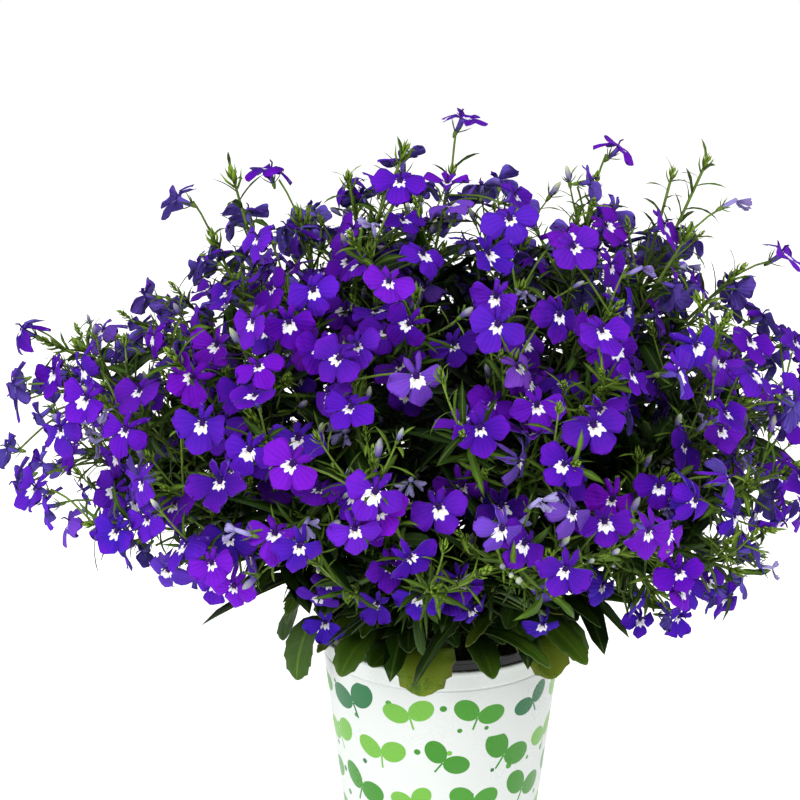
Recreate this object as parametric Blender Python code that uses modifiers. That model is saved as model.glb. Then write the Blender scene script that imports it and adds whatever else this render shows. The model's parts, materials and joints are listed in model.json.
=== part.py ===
# A trailing lobelia in flower, growing in a black nursery pot that stands in a white outer pot.
# Metres, +Z up, origin at the middle of the outer pot's foot. The front of the plant faces -Y.
import math
import random

import bmesh
import bpy
from mathutils import Matrix, Vector

# Pots and soil
GAP = 0.0003
POT_SIDES = 24
SLEEVE_HEIGHT = 0.098
SLEEVE_RIM_RADIUS = 0.055
SLEEVE_FOOT_RADIUS = 0.0436
SLEEVE_WALL = 0.0012
SLEEVE_FLOOR = 0.002
SLEEVE_BEAD = 0.0009
NURSERY_FLOOR = SLEEVE_FLOOR + GAP
RIM_TOP = 0.1035
POT_WALL = 0.001
POT_FLOOR = 0.0014
POT_LIP_RADIUS = 0.0557
DRAIN_HOLES = 6
DRAIN_RADIUS = 0.0035
SOIL_TOP = 0.0945
SOIL_CROWN = 0.0025
FOOT_DEPTH = 0.011

# The mound of stems, an ellipsoid that stands over the rim, and the cone of its underside
MOUND_CENTRE = Vector((-0.008, 0.0, RIM_TOP + 0.085))
MOUND_HALF_WIDTH = 0.185
MOUND_HALF_DEPTH = 0.160
MOUND_RISE = 0.122
MOUND_DROP = 0.105
LEFT_SLUMP = 2.2
SKIRT_SLOPE_LEFT = 0.52
SKIRT_SLOPE_RIGHT = 0.26
SKIRT_SLOPE_FRONT = 0.61
SKIRT_SLOPE_BACK = 0.42
# In front, low over the rim, leaves show and flowers are few:
LEAFY_HALF_WIDTH = 0.076
LEAFY_TOP = RIM_TOP + 0.064

# Growth
STEMS = 29
SHOOTS = 87
BLOOMS = 228
LEAVES_PER_SHOOT = 1
LOWEST_SHOOT = math.radians(15)
LOWEST_BLOOM = math.radians(13)
GOLDEN = math.pi * (3 - math.sqrt(5))
CROWN_RADIUS = 0.034
STEM_RADIUS = 0.0015
SHOOT_RADIUS = 0.0013
TIP_RADIUS = 0.0010
ROOT_RADIUS = 0.0004
TUBE_RADIUS = 0.0014
TUBE_LENGTH = 0.0075
BLADE = 0.0008
CLEAR = 0.0004
AIR_CELL = 0.012
BLOOM_TRIES = 60
SHOOT_TRIES = 16
LEAF_TRIES = 10

UP = Vector((0, 0, 1))
RIM_MIDDLE = Vector((0, 0, RIM_TOP))

# A bloom seen from the front: (turn from upright in degrees, reach, how far forward).
# Two narrow upper lobes and three broad lower ones.
BLOOM_OUTLINE = [
    (-21, 0.0082, -0.0010),
    (0, 0.0020, -0.0004),
    (21, 0.0082, -0.0010),
    (56, 0.0024, -0.0002),
    (82, 0.0094, 0.0004),
    (110, 0.0102, 0.0008),
    (140, 0.0050, 0.0006),
    (167, 0.0108, 0.0016),
    (193, 0.0108, 0.0016),
    (220, 0.0050, 0.0006),
    (250, 0.0102, 0.0008),
    (278, 0.0094, 0.0004),
    (304, 0.0024, -0.0002),
]

# Sprigs that stand clear of the mound and end in a flower, and green ones that end in a bare tip:
# (left to right, front to back, height over the rim)
FLOWER_SPRIGS = [
    (-0.114, -0.020, 0.191),
    (-0.074, 0.000, 0.202),
    (0.006, 0.010, 0.223),
    (0.077, 0.000, 0.212),
    (0.122, -0.010, 0.190),
    (0.148, 0.010, 0.164),
    (-0.180, -0.010, 0.132),
    (-0.187, -0.010, 0.111),
    (-0.176, -0.020, 0.078),
    (-0.168, -0.040, 0.060),
    (-0.020, 0.150, 0.120),
    (0.070, 0.140, 0.150),
]
GREEN_SPRIGS = [
    (-0.090, 0.000, 0.198),
    (-0.041, 0.010, 0.195),
    (-0.017, 0.000, 0.208),
    (0.097, 0.000, 0.199),
    (0.112, 0.005, 0.203),
    (-0.169, 0.000, 0.124),
]

# Low flowers under the edge of the mound, measured as the sprigs are
LOW_FLOWERS = [
    (-0.102, -0.090, 0.056),
    (-0.082, -0.110, 0.073),
    (-0.045, -0.100, 0.050),
    (-0.048, -0.075, 0.018),
    (-0.023, -0.120, 0.063),
    (0.002, -0.120, 0.059),
    (0.008, -0.100, 0.039),
    (0.040, -0.110, 0.055),
    (0.038, -0.088, 0.031),
    (0.078, -0.070, 0.024),
    (0.096, -0.060, 0.018),
    (0.124, -0.050, 0.036),
    (0.110, 0.020, 0.030),
    (-0.090, 0.020, 0.036),
    (0.060, 0.085, 0.036),
    (-0.040, 0.090, 0.036),
]

# The broad leaves over the rim: (turn round the pot from the front, length, width, how far it hangs, or rises below 0)
RIM_LEAVES = [
    (-66, 0.046, 0.0140, 0.95),
    (-36, 0.042, 0.0130, 0.45),
    (-8, 0.042, 0.0185, 0.80),
    (15, 0.038, 0.0110, 0.20),
    (40, 0.040, 0.0170, 0.65),
    (61, 0.044, 0.0110, 0.80),
    (84, 0.052, 0.0095, 1.00),
    (118, 0.040, 0.0130, 0.50),
    (150, 0.044, 0.0120, 0.85),
    (180, 0.038, 0.0150, 0.40),
    (210, 0.044, 0.0120, 0.90),
    (240, 0.040, 0.0140, 0.55),
    (268, 0.046, 0.0115, 0.80),
    (-52, 0.050, 0.0125, -0.32),
    (-22, 0.048, 0.0130, -0.05),
    (3, 0.052, 0.0120, -0.38),
    (27, 0.050, 0.0125, -0.22),
    (52, 0.050, 0.0130, -0.40),
    (-82, 0.048, 0.0115, -0.15),
    (72, 0.050, 0.0110, -0.10),
    (132, 0.048, 0.0120, -0.30),
    (195, 0.050, 0.0120, -0.25),
    (225, 0.048, 0.0115, -0.30),
]


def clear_scene():
    for old in list(bpy.data.objects):
        bpy.data.objects.remove(old, do_unlink=True)


def new_collection(name):
    made = bpy.data.collections.new(name)
    bpy.context.scene.collection.children.link(made)
    return made


def plain_material(name, colour, roughness):
    material = bpy.data.materials.new(name)
    material.use_nodes = True
    shader = material.node_tree.nodes["Principled BSDF"]
    shader.inputs["Base Color"].default_value = (*colour, 1)
    shader.inputs["Roughness"].default_value = roughness
    shader.inputs["Metallic"].default_value = 0
    material.diffuse_color = (*colour, 1)
    return material


def mesh_object(name, bm, materials, collection):
    mesh = bpy.data.meshes.new(name)
    bm.to_mesh(mesh)
    bm.free()
    for material in materials:
        mesh.materials.append(material)
    made = bpy.data.objects.new(name, mesh)
    collection.objects.link(made)
    return made


def evaluated_mesh(obj):
    graph = bpy.context.evaluated_depsgraph_get()
    return bpy.data.meshes.new_from_object(obj.evaluated_get(graph), depsgraph=graph)


# Pots and soil
def turned(name, profile, material, collection):
    bm = bmesh.new()
    points = [bm.verts.new((radius, 0, height)) for radius, height in profile]
    for a, b in zip(points, points[1:]):
        bm.edges.new((a, b))
    made = mesh_object(name, bm, [material], collection)
    screw = made.modifiers.new("turn", "SCREW")
    screw.angle = math.tau
    screw.steps = screw.render_steps = POT_SIDES
    screw.use_merge_vertices = True
    screw.merge_threshold = 0.00001
    made.data.shade_smooth()
    made.data.set_sharp_from_angle(angle=math.radians(35))
    return made


def drill(made, spots, radius, sides, depth):
    """Plain upright holes that start at each spot."""
    bm = bmesh.new()
    for spot in spots:
        place = Matrix.Translation(spot + 0.5 * depth * UP)
        bmesh.ops.create_cone(
            bm, cap_ends=True, segments=sides, radius1=radius, radius2=radius, depth=depth, matrix=place
        )
    cutter = mesh_object(made.name + "_holes", bm, [], bpy.data.collections["cutters"])
    cutter.hide_render = True
    cutter.display_type = "WIRE"
    cut = made.modifiers.new("holes", "BOOLEAN")
    cut.operation = "DIFFERENCE"
    cut.solver = "EXACT"
    cut.object = cutter


def sleeve_radius(height):
    """Outside of the white pot at a height."""
    return SLEEVE_FOOT_RADIUS + (SLEEVE_RIM_RADIUS - SLEEVE_FOOT_RADIUS) * height / SLEEVE_HEIGHT


def nursery_radius(height):
    """Outside of the black pot at a height, a little clear of the white one."""
    return sleeve_radius(height) - SLEEVE_WALL - 2 * GAP


def outer_pot(material, collection):
    floor = SLEEVE_FLOOR
    profile = [
        (0, floor),
        (sleeve_radius(floor) - SLEEVE_WALL, floor),
        (SLEEVE_RIM_RADIUS - SLEEVE_WALL, SLEEVE_HEIGHT),
        (SLEEVE_RIM_RADIUS + SLEEVE_BEAD, SLEEVE_HEIGHT),
        (SLEEVE_RIM_RADIUS + SLEEVE_BEAD, SLEEVE_HEIGHT - 2 * SLEEVE_BEAD),
        (sleeve_radius(SLEEVE_HEIGHT - 2 * SLEEVE_BEAD), SLEEVE_HEIGHT - 2 * SLEEVE_BEAD),
        (SLEEVE_FOOT_RADIUS, 0),
        (0, 0),
    ]
    return turned("outer_pot", profile, material, collection)


def inner_pot(material, collection):
    """Thin black pot: its stepped collar hooks over the white rim."""
    floor = NURSERY_FLOOR
    collar_foot = SLEEVE_HEIGHT + GAP
    step = 0.0009
    wall_top = nursery_radius(collar_foot)
    profile = [
        (0, floor + POT_FLOOR),
        (nursery_radius(floor) - POT_WALL, floor + POT_FLOOR),
        (wall_top - POT_WALL, collar_foot),
        (wall_top - POT_WALL + step, collar_foot + 2 * step),
        (POT_LIP_RADIUS - 2 * step, RIM_TOP),
        (POT_LIP_RADIUS, RIM_TOP),
        (POT_LIP_RADIUS, RIM_TOP - 2 * step),
        (POT_LIP_RADIUS - step, RIM_TOP - 2.5 * step),
        (POT_LIP_RADIUS - step, collar_foot),
        (wall_top, collar_foot),
        (nursery_radius(floor), floor),
        (0, floor),
    ]
    made = turned("inner_pot", profile, material, collection)
    ring = 0.6 * nursery_radius(floor)
    spots = []
    for k in range(DRAIN_HOLES):
        turn = math.tau * (k + 0.5) / DRAIN_HOLES
        spots.append(Vector((ring * math.cos(turn), ring * math.sin(turn), floor - POT_FLOOR)))
    drill(made, spots, DRAIN_RADIUS, 6, 4 * POT_FLOOR)
    return made


def soil_height(radius):
    """The soil is heaped a little towards the middle."""
    edge = nursery_radius(SOIL_TOP) - POT_WALL - GAP
    return SOIL_TOP + SOIL_CROWN * (1 - (radius / edge) ** 2)


def potting_soil(feet, material, collection):
    """The root ball, with one plain hole for the foot of each stem."""
    floor = NURSERY_FLOOR + POT_FLOOR + GAP
    inset = POT_WALL + 2 * GAP
    edge = nursery_radius(SOIL_TOP) - inset
    profile = [(0, soil_height(0)), (0.62 * edge, soil_height(0.62 * edge)), (edge, SOIL_TOP)]
    profile += [(nursery_radius(floor) - inset, floor), (0, floor)]
    made = turned("potting_soil", profile, material, collection)
    hole_sides = 4
    hole_radius = (STEM_RADIUS + GAP) / math.cos(math.pi / hole_sides)
    drill(made, [foot - GAP * UP for foot in feet], hole_radius, hole_sides, 2 * FOOT_DEPTH)
    return made


# Growth: where every stem, shoot, bloom and leaf goes
class Air:
    """The space that grown pieces have taken, as balls in a grid, so that no piece grows through another."""

    def __init__(self):
        self.cells = {}

    def cell_of(self, point):
        return tuple(math.floor(c / AIR_CELL) for c in point)

    def is_free(self, balls, own, over_rim=False):
        """True where balls touch nothing that was taken by another owner than those in own."""
        for point, radius in balls:
            if near_pot(point, radius) and not over_rim:
                return False
            i, j, k = self.cell_of(point)
            for a in (i - 1, i, i + 1):
                for b in (j - 1, j, j + 1):
                    for c in (k - 1, k, k + 1):
                        for other, size, owner in self.cells.get((a, b, c), ()):
                            if owner not in own and (point - other).length < radius + size + CLEAR:
                                return False
        return True

    def take(self, balls, owner):
        for point, radius in balls:
            self.cells.setdefault(self.cell_of(point), []).append((point, radius, owner))


def near_pot(point, radius):
    across = math.hypot(point.x, point.y)
    return across < POT_LIP_RADIUS + radius + CLEAR and point.z < RIM_TOP + radius + CLEAR


def direction(elevation, turn):
    flat = math.cos(elevation)
    return Vector((flat * math.cos(turn), flat * math.sin(turn), math.sin(elevation)))


def lattice(index, count, lowest):
    """Even directions over a cap, from straight up down to the lowest elevation."""
    share = (index + 0.5) / count
    return math.asin(1 - share * (1 - math.sin(lowest))), index * GOLDEN


def mound_reach(towards):
    """How far the mound reaches from the middle of the rim in a direction."""
    offset = RIM_MIDDLE - MOUND_CENTRE
    reach = 0.2
    for _ in range(16):
        spot = offset + reach * towards
        rise = MOUND_RISE * (1 + LEFT_SLUMP * min(0, spot.x + 0.02))
        size = Vector((MOUND_HALF_WIDTH, MOUND_HALF_DEPTH, rise if spot.z > 0 else MOUND_DROP))
        reach /= math.sqrt(sum((s / h) ** 2 for s, h in zip(spot, size)))
    return reach


def skirt_height(point):
    """The underside of the mound, a cone that rises from the rim, with its own slope on each side."""
    radius = max(math.hypot(point.x, point.y), 0.001)
    across = (point.x / radius) ** 2
    side = SKIRT_SLOPE_RIGHT if point.x > 0 else SKIRT_SLOPE_LEFT
    middle = SKIRT_SLOPE_FRONT if point.y < 0 else SKIRT_SLOPE_BACK
    slope = across * side + (1 - across) * middle
    return RIM_TOP + slope * max(0, radius - POT_LIP_RADIUS)


def among_leaves(point):
    """True for the leafy place in front, low over the rim."""
    return point.y < -0.06 and abs(point.x) < LEAFY_HALF_WIDTH and point.z < LEAFY_TOP


def bend(start, control, end, count):
    """Points along a quadratic curve."""
    made = []
    for k in range(count):
        t = k / (count - 1)
        made.append((1 - t) ** 2 * start + 2 * t * (1 - t) * control + t * t * end)
    return made


def along(points, share):
    """The point at a share of the path's length, and the direction there."""
    left = min(max(share, 0), 1) * path_length(points)
    for a, b in zip(points, points[1:]):
        step = (b - a).length
        if left <= step or b is points[-1]:
            return a.lerp(b, min(left / step, 1)), (b - a) / step
        left -= step


def path_length(points):
    return sum((b - a).length for a, b in zip(points, points[1:]))


def balls_along(points, radius, start=0.0):
    """Balls that cover a path, from a distance after its start."""
    length = path_length(points)
    first = min(start / length, 0.9)
    count = max(2, math.ceil((1 - first) * length / (1.4 * radius)))
    return [(along(points, first + (1 - first) * k / (count - 1))[0], radius) for k in range(count)]


def sideways(tangent, turn):
    """A unit vector square to tangent, turned about it."""
    aside = tangent.cross(UP if abs(tangent.z) < 0.9 else Vector((0, 1, 0))).normalized()
    return Matrix.Rotation(turn, 3, tangent) @ aside


def choose_leaders(tips):
    """The tips of the main stems: each next one is the farthest from those chosen before it."""
    chosen = [0]
    while len(chosen) < STEMS:
        gaps = [min((tip - tips[c]).length for c in chosen) for tip in tips]
        chosen.append(gaps.index(max(gaps)))
    return chosen


def shoot_tip(index):
    draw = random.Random(300 + index)
    elevation, turn = lattice(index, SHOOTS, LOWEST_SHOOT)
    towards = direction(elevation + draw.uniform(-0.03, 0.03), turn + draw.uniform(-0.05, 0.05))
    tip = RIM_MIDDLE + draw.uniform(0.84, 0.93) * mound_reach(towards) * towards
    tip.z = max(tip.z, skirt_height(tip) + 0.012)
    return tip


def all_tips():
    """The tips of all shoots; the one nearest to a sprig is drawn out to it."""
    tips = [shoot_tip(index) for index in range(SHOOTS)]
    drawn = []
    for x, y, z in FLOWER_SPRIGS + GREEN_SPRIGS:
        end = RIM_MIDDLE + Vector((x, y, z))
        if len(drawn) < len(FLOWER_SPRIGS):
            end -= 0.024 * (end - MOUND_CENTRE).normalized()
        free = [k for k in range(SHOOTS) if k not in drawn]
        nearest = min(free, key=lambda k: (tips[k] - end).length)
        tips[nearest] = end
        drawn.append(nearest)
    return tips


def main_stem(order, tip, index, air):
    """One stem from its foot in the soil to its tip on the mound."""
    draw = random.Random(100 + index)
    flat = Vector((tip.x, tip.y, 0))
    steep = math.atan2(tip.z - RIM_TOP, flat.length)
    root_radius = CROWN_RADIUS * math.sqrt(order)
    turn = math.atan2(tip.y, tip.x)
    collar = Vector((root_radius * math.cos(turn), root_radius * math.sin(turn), 0))
    collar.z = soil_height(root_radius) + 0.002
    foot = Vector((collar.x, collar.y, soil_height(root_radius) - FOOT_DEPTH))
    for attempt in range(SHOOT_TRIES):
        control = collar.lerp(tip, 0.36) + 0.052 * math.cos(steep) * UP
        control += 0.002 * attempt * Vector((draw.uniform(-1, 1), draw.uniform(-1, 1), 0))
        points = [foot] + bend(collar, control, tip, 6)
        if air.is_free(balls_along(points[1:], 0.0018), ()):
            break
    air.take(balls_along(points, 0.0018), ("stem", index))
    return {"name": ("stem", index), "points": points, "radii": (STEM_RADIUS, TIP_RADIUS), "draw": draw}


def side_shoot(index, tip, stems, air):
    """A shoot that leaves one of the nearest stems part of the way up and ends at its own tip."""
    draw = random.Random(500 + index)
    for attempt in range(SHOOT_TRIES):
        stem = stems[attempt % len(stems)]
        base, tangent = along(stem["points"], draw.uniform(0.38, 0.64))
        aside = (tip - base) - (tip - base).dot(tangent) * tangent
        control = base + 0.5 * (tip - base).length * (tangent + 0.55 * aside.normalized()).normalized()
        control += draw.uniform(0, 0.004 + 0.002 * attempt) * UP
        points = bend(base, control, tip, 4)
        if air.is_free(balls_along(points, 0.0016, 0.008), {stem["name"]}):
            air.take(balls_along(points, 0.0016), ("shoot", index))
            name = ("shoot", index)
            shoot = {"name": name, "points": points, "radii": (SHOOT_RADIUS, TIP_RADIUS), "draw": draw}
            return shoot, stem
    return None, None


def bloom_axes(facing, roll):
    """The bloom's sideways, upright and forward directions: its lip hangs down, turned a little by roll."""
    out = facing.normalized()
    lip = 0.35 * Vector((out.x, out.y, 0)) - UP
    upright = -(lip - lip.dot(out) * out).normalized()
    upright = Matrix.Rotation(roll, 3, out) @ upright
    return upright.cross(out).normalized(), upright, out


def bloom_balls(place, axes, size):
    across, upright, out = axes
    spots = [
        (0, 0, -0.0010, 0.0030),
        (0.0076, -0.0012, -0.0004, 0.0026),
        (-0.0076, -0.0012, -0.0004, 0.0026),
        (0.0046, -0.0020, -0.0010, 0.0026),
        (-0.0046, -0.0020, -0.0010, 0.0026),
        (0, -0.0084, 0.0010, 0.0026),
        (0, -0.0050, 0, 0.0026),
        (0.0022, 0.0062, -0.0010, 0.0020),
        (-0.0022, 0.0062, -0.0010, 0.0020),
        (0, 0, -0.0045, 0.0022),
    ]
    return [(place + size * (x * across + y * upright + z * out), size * radius) for x, y, z, radius in spots]


def find_root(place, out, shoots):
    """The spot on a shoot that a bloom's stalk can best grow from."""
    best = None
    for shoot in shoots:
        crowd = 0.004 * max(0, len(shoot["blooms"]) - 3)
        if (shoot["points"][-1] - place).length > 0.075:
            continue
        length = path_length(shoot["points"])
        for k in range(14):
            root, tangent = along(shoot["points"], 1 - (0.0015 + 0.0045 * k) / length)
            if any((bloom["root"] - root).length < 0.0035 for bloom in shoot["blooms"]):
                continue
            stalk = place - root
            reach = stalk.length
            if not 0.012 < reach < 0.042 or stalk.dot(out) < 0.35 * reach:
                continue
            cost = abs(reach - 0.024) + crowd + 0.010 * (1 - stalk.dot(out) / reach)
            if root.z > RIM_TOP + 0.010 and (best is None or cost < best[0]):
                best = (cost, shoot, root)
    return best


def grow_bloom(name, draw, target, spread, shoots, air):
    """A bloom near its target, on a stalk from the nearest fitting shoot."""
    for attempt in range(BLOOM_TRIES):
        near = spread * (0.3 + attempt / BLOOM_TRIES)
        place = target + near * Vector((draw.uniform(-1, 1), draw.uniform(-1, 1), draw.uniform(-1, 1)))
        place.z = max(place.z, skirt_height(place) + draw.uniform(0, 0.006))
        facing = place - MOUND_CENTRE
        facing.z = 0.45 * facing.z + 0.010
        wobble = Vector((draw.uniform(-1, 1), draw.uniform(-1, 1), draw.uniform(-1, 1)))
        axes = bloom_axes(facing.normalized() + 0.32 * wobble, draw.uniform(-0.4, 0.4))
        size = draw.uniform(0.90, 1.08)
        found = find_root(place, axes[2], shoots)
        if found is None:
            continue
        _, shoot, root = found
        back = place - size * TUBE_LENGTH * axes[2]
        head = bloom_balls(place, axes, size)
        stalk = balls_along([root, back], 0.0009, 0.003)
        tube = balls_along([back, place], 0.0016)
        if air.is_free(head + stalk + tube, {shoot["name"]}):
            air.take(head + stalk + tube, name)
            bloom = {"root": root, "place": place, "axes": axes, "size": size, "name": name}
            shoot["blooms"].append(bloom)
            return bloom
    return None


def grow_leaf(name, share, shoot, air):
    """A narrow leaf on the bare stretch of a shoot."""
    draw = shoot["draw"]
    for attempt in range(LEAF_TRIES):
        base, tangent = along(shoot["points"], share + draw.uniform(-0.08, 0.08))
        if base.z < RIM_TOP + 0.010:
            continue
        lean = math.radians(draw.uniform(35, 62))
        aside = sideways(tangent, draw.uniform(0, math.tau))
        heading = math.cos(lean) * tangent + math.sin(lean) * aside
        length = draw.uniform(0.019, 0.028)
        end = base + length * (heading - draw.uniform(0.05, 0.35) * UP)
        points = bend(base, base + 0.5 * length * heading, end, 3)
        balls = balls_along(points, 0.0022, 0.003)
        if air.is_free(balls, {shoot["name"]}):
            air.take(balls, name)
            shoot["leaves"].append({"points": points, "width": draw.uniform(0.0032, 0.0044)})
            return


def rim_leaf(stem, turn, length, hang):
    """A broad leaf's midrib: out from the stem, over the rim and down outside the pot."""
    flat = Vector((math.sin(turn), -math.cos(turn), 0))
    base, _ = along(stem["points"], 0.16)
    over = (POT_LIP_RADIUS + 0.003) * flat
    over.z = RIM_TOP + 0.006
    rest = max(length - (over - base).length, 0.018)
    drop = math.radians(5 + 72 * hang)
    end = over + rest * (math.cos(drop) * flat - math.sin(drop) * UP) + 0.004 * hang * flat
    knee = over + 0.40 * rest * flat
    return [base] + bend(over, knee, end, 6)


def grow_rim_leaves(stems, air):
    """Each broad leaf grows from the stem that leans most towards its place on the rim."""
    grown = {}
    for k, (degrees, length, width, hang) in enumerate(RIM_LEAVES):
        turn = math.radians(degrees)
        flat = Vector((math.sin(turn), -math.cos(turn), 0))
        bare = [s for s in stems if s["name"] not in grown]
        bare.sort(key=lambda s: -along(s["points"], 0.3)[0].dot(flat))
        for stem in bare:
            points = rim_leaf(stem, turn, length, hang)
            balls = balls_along(points, 0.35 * width, 0.016) + balls_along(points, 0.0015, 0.003)
            if air.is_free(balls, {stem["name"]}, over_rim=True):
                air.take(balls, ("rim leaf", k))
                grown[stem["name"]] = {"points": points, "width": width, "across": flat.cross(UP)}
                break
    return grown


def grow_plant():
    """Each main stem with its shoots, blooms and leaves, always drawn in the same order."""
    air = Air()
    tips = all_tips()
    leaders = choose_leaders(tips)
    by_height = sorted(range(STEMS), key=lambda k: -tips[leaders[k]].normalized().z)
    orders = {k: (place + 0.5) / STEMS for place, k in enumerate(by_height)}
    stems = [main_stem(orders[k], tips[leaders[k]], k, air) for k in range(STEMS)]
    rim_leaves = grow_rim_leaves(stems, air)
    plants = [[stem] for stem in stems]
    for index, tip in enumerate(tips):
        if index not in leaders:
            near = sorted(stems, key=lambda s: (s["points"][-1] - tip).length + 0.01 * len(plants[s["name"][1]]))
            shoot, stem = side_shoot(index, tip, near[:3], air)
            if shoot:
                plants[stem["name"][1]].append(shoot)
    shoots = [shoot for plant in plants for shoot in plant]
    for shoot in shoots:
        shoot["blooms"] = []
        shoot["leaves"] = []
    for k, (x, y, z) in enumerate(FLOWER_SPRIGS + LOW_FLOWERS):
        target = RIM_MIDDLE + Vector((x, y, z))
        grow_bloom(("lone bloom", k), random.Random(900 + k), target, 0.008, shoots, air)
    for k in range(BLOOMS):
        draw = random.Random(1000 + k)
        towards = direction(*lattice(k, BLOOMS, LOWEST_BLOOM))
        layer = draw.uniform(0.88, 1.0) if k % 4 else draw.uniform(0.72, 0.86)
        target = RIM_MIDDLE + layer * mound_reach(towards) * towards
        if not among_leaves(target):
            grow_bloom(("bloom", k), draw, target, 0.013, shoots, air)
    for shoot in shoots:
        for k in range(LEAVES_PER_SHOOT):
            grow_leaf(("leaf", shoot["name"], k), 0.45 + 0.25 * k, shoot, air)
    return [{"shoots": plant, "rim_leaf": rim_leaves.get(plant[0]["name"])} for plant in plants]


# Shapes of the grown pieces
def frames_along(points, across=None):
    """A sideways and an upward direction at each point, carried along the path without twisting."""
    tangents = []
    for k in range(len(points)):
        a, b = points[max(k - 1, 0)], points[min(k + 1, len(points) - 1)]
        tangents.append((b - a).normalized())
    side = across if across is not None else sideways(tangents[0], 0)
    frames = []
    for tangent in tangents:
        side = (side - side.dot(tangent) * tangent).normalized()
        frames.append((side, side.cross(tangent)))
    return frames


def skin(bm, rings, slot):
    """Faces between rings of equal count, with both ends closed."""
    made = []
    for a, b in zip(rings, rings[1:]):
        count = len(a)
        for k in range(count):
            n = (k + 1) % count
            if len(b) == 1:
                made.append(bm.faces.new((a[k], a[n], b[0])))
            else:
                made.append(bm.faces.new((a[k], a[n], b[n], b[k])))
    made.append(bm.faces.new(tuple(reversed(rings[0]))))
    if len(rings[-1]) > 2:
        made.append(bm.faces.new(tuple(rings[-1])))
    for face in made:
        face.material_index = slot


def stem_shape(points, radii, sunk=False):
    """A three-sided stem that thins towards its tip; a shoot's root is sunk in its stem."""
    bm = bmesh.new()
    rings = []
    for k, (point, (side, up)) in enumerate(zip(points, frames_along(points))):
        radius = radii[0] + (radii[1] - radii[0]) * k / (len(points) - 1)
        if sunk and k == 0:
            radius = ROOT_RADIUS
        ring = []
        for corner in range(3):
            turn = math.tau * corner / 3
            ring.append(bm.verts.new(point + radius * (math.cos(turn) * side + math.sin(turn) * up)))
        rings.append(ring)
    skin(bm, rings, 0)
    bmesh.ops.recalc_face_normals(bm, faces=bm.faces)
    return bm


def leaf_shape(points, width):
    """A narrow keeled leaf."""
    bm = bmesh.new()
    widths = [ROOT_RADIUS, 0.5 * width]
    keels = [ROOT_RADIUS, BLADE]
    rings = []
    for half, keel, point, (side, up) in zip(widths, keels, points, frames_along(points)):
        corners = (point - half * side, point + half * side, point + keel * up)
        rings.append([bm.verts.new(corner) for corner in corners])
    rings.append([bm.verts.new(points[-1])])
    skin(bm, rings, 0)
    bmesh.ops.recalc_face_normals(bm, faces=bm.faces)
    return bm


def rim_leaf_shape(points, width, across):
    """A broad toothed leaf on a short stalk, a flat blade of even thickness."""
    bm = bmesh.new()
    halves = [ROOT_RADIUS] + [0.5 * width * share for share in (0.30, 1.00, 0.72, 0.92, 0.50, 0.12)]
    rings = []
    for half, point, (side, up) in zip(halves, points, frames_along(points, across)):
        thick = 0.5 * BLADE * up
        cup = 0.12 * half * up
        corners = (
            point - half * side + cup - thick,
            point + half * side + cup - thick,
            point + half * side + cup + thick,
            point - half * side + cup + thick,
        )
        rings.append([bm.verts.new(corner) for corner in corners])
    skin(bm, rings, 0)
    bmesh.ops.recalc_face_normals(bm, faces=bm.faces)
    return bm


def bloom_shape(bloom):
    """A stalk that widens into the flower's tube and opens into its five lobes."""
    bm = bmesh.new()
    across, upright, out = bloom["axes"]
    place, size = bloom["place"], bloom["size"]
    back = place - size * TUBE_LENGTH * out
    along_stalk = (back - bloom["root"]).normalized()
    side = (upright - upright.dot(along_stalk) * along_stalk).normalized()
    third = side.cross(along_stalk)
    rings = []
    for centre, radius in ((bloom["root"], ROOT_RADIUS), (back, size * TUBE_RADIUS)):
        ring = []
        for corner in range(3):
            turn = math.tau * corner / 3
            ring.append(bm.verts.new(centre + radius * (math.cos(turn) * side + math.sin(turn) * third)))
        rings.append(ring)
    skin(bm, rings, 0)
    bm.faces.ensure_lookup_table()
    bm.faces.remove(bm.faces[-1])
    edge = []
    for degrees, reach, forward in BLOOM_OUTLINE:
        turn = math.radians(degrees)
        flat = math.sin(turn) * across + math.cos(turn) * upright
        edge.append(bm.verts.new(place + size * (reach * flat + forward * out)))
    throat = bm.verts.new(place - size * 0.0012 * out)
    tube = rings[1]
    petals = []
    turns = [math.atan2((v.co - back).dot(across), (v.co - back).dot(upright)) % math.tau for v in tube]
    order = sorted(range(3), key=lambda k: turns[k])
    tube = [tube[k] for k in order]
    turns = [turns[k] for k in order]
    owners = []
    for degrees, _, _ in BLOOM_OUTLINE:
        turn = math.radians(degrees) % math.tau
        gaps = [abs((turn - t + math.pi) % math.tau - math.pi) for t in turns]
        owners.append(gaps.index(min(gaps)))
    count = len(edge)
    for k in range(count):
        n = (k + 1) % count
        petals.append(bm.faces.new((edge[k], throat, edge[n])))
        petals.append(bm.faces.new((edge[k], edge[n], tube[owners[k]])))
        if owners[n] != owners[k]:
            petals.append(bm.faces.new((tube[owners[k]], edge[n], tube[owners[n]])))
    for face in petals:
        face.material_index = 1
    bmesh.ops.recalc_face_normals(bm, faces=bm.faces)
    return bm


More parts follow.
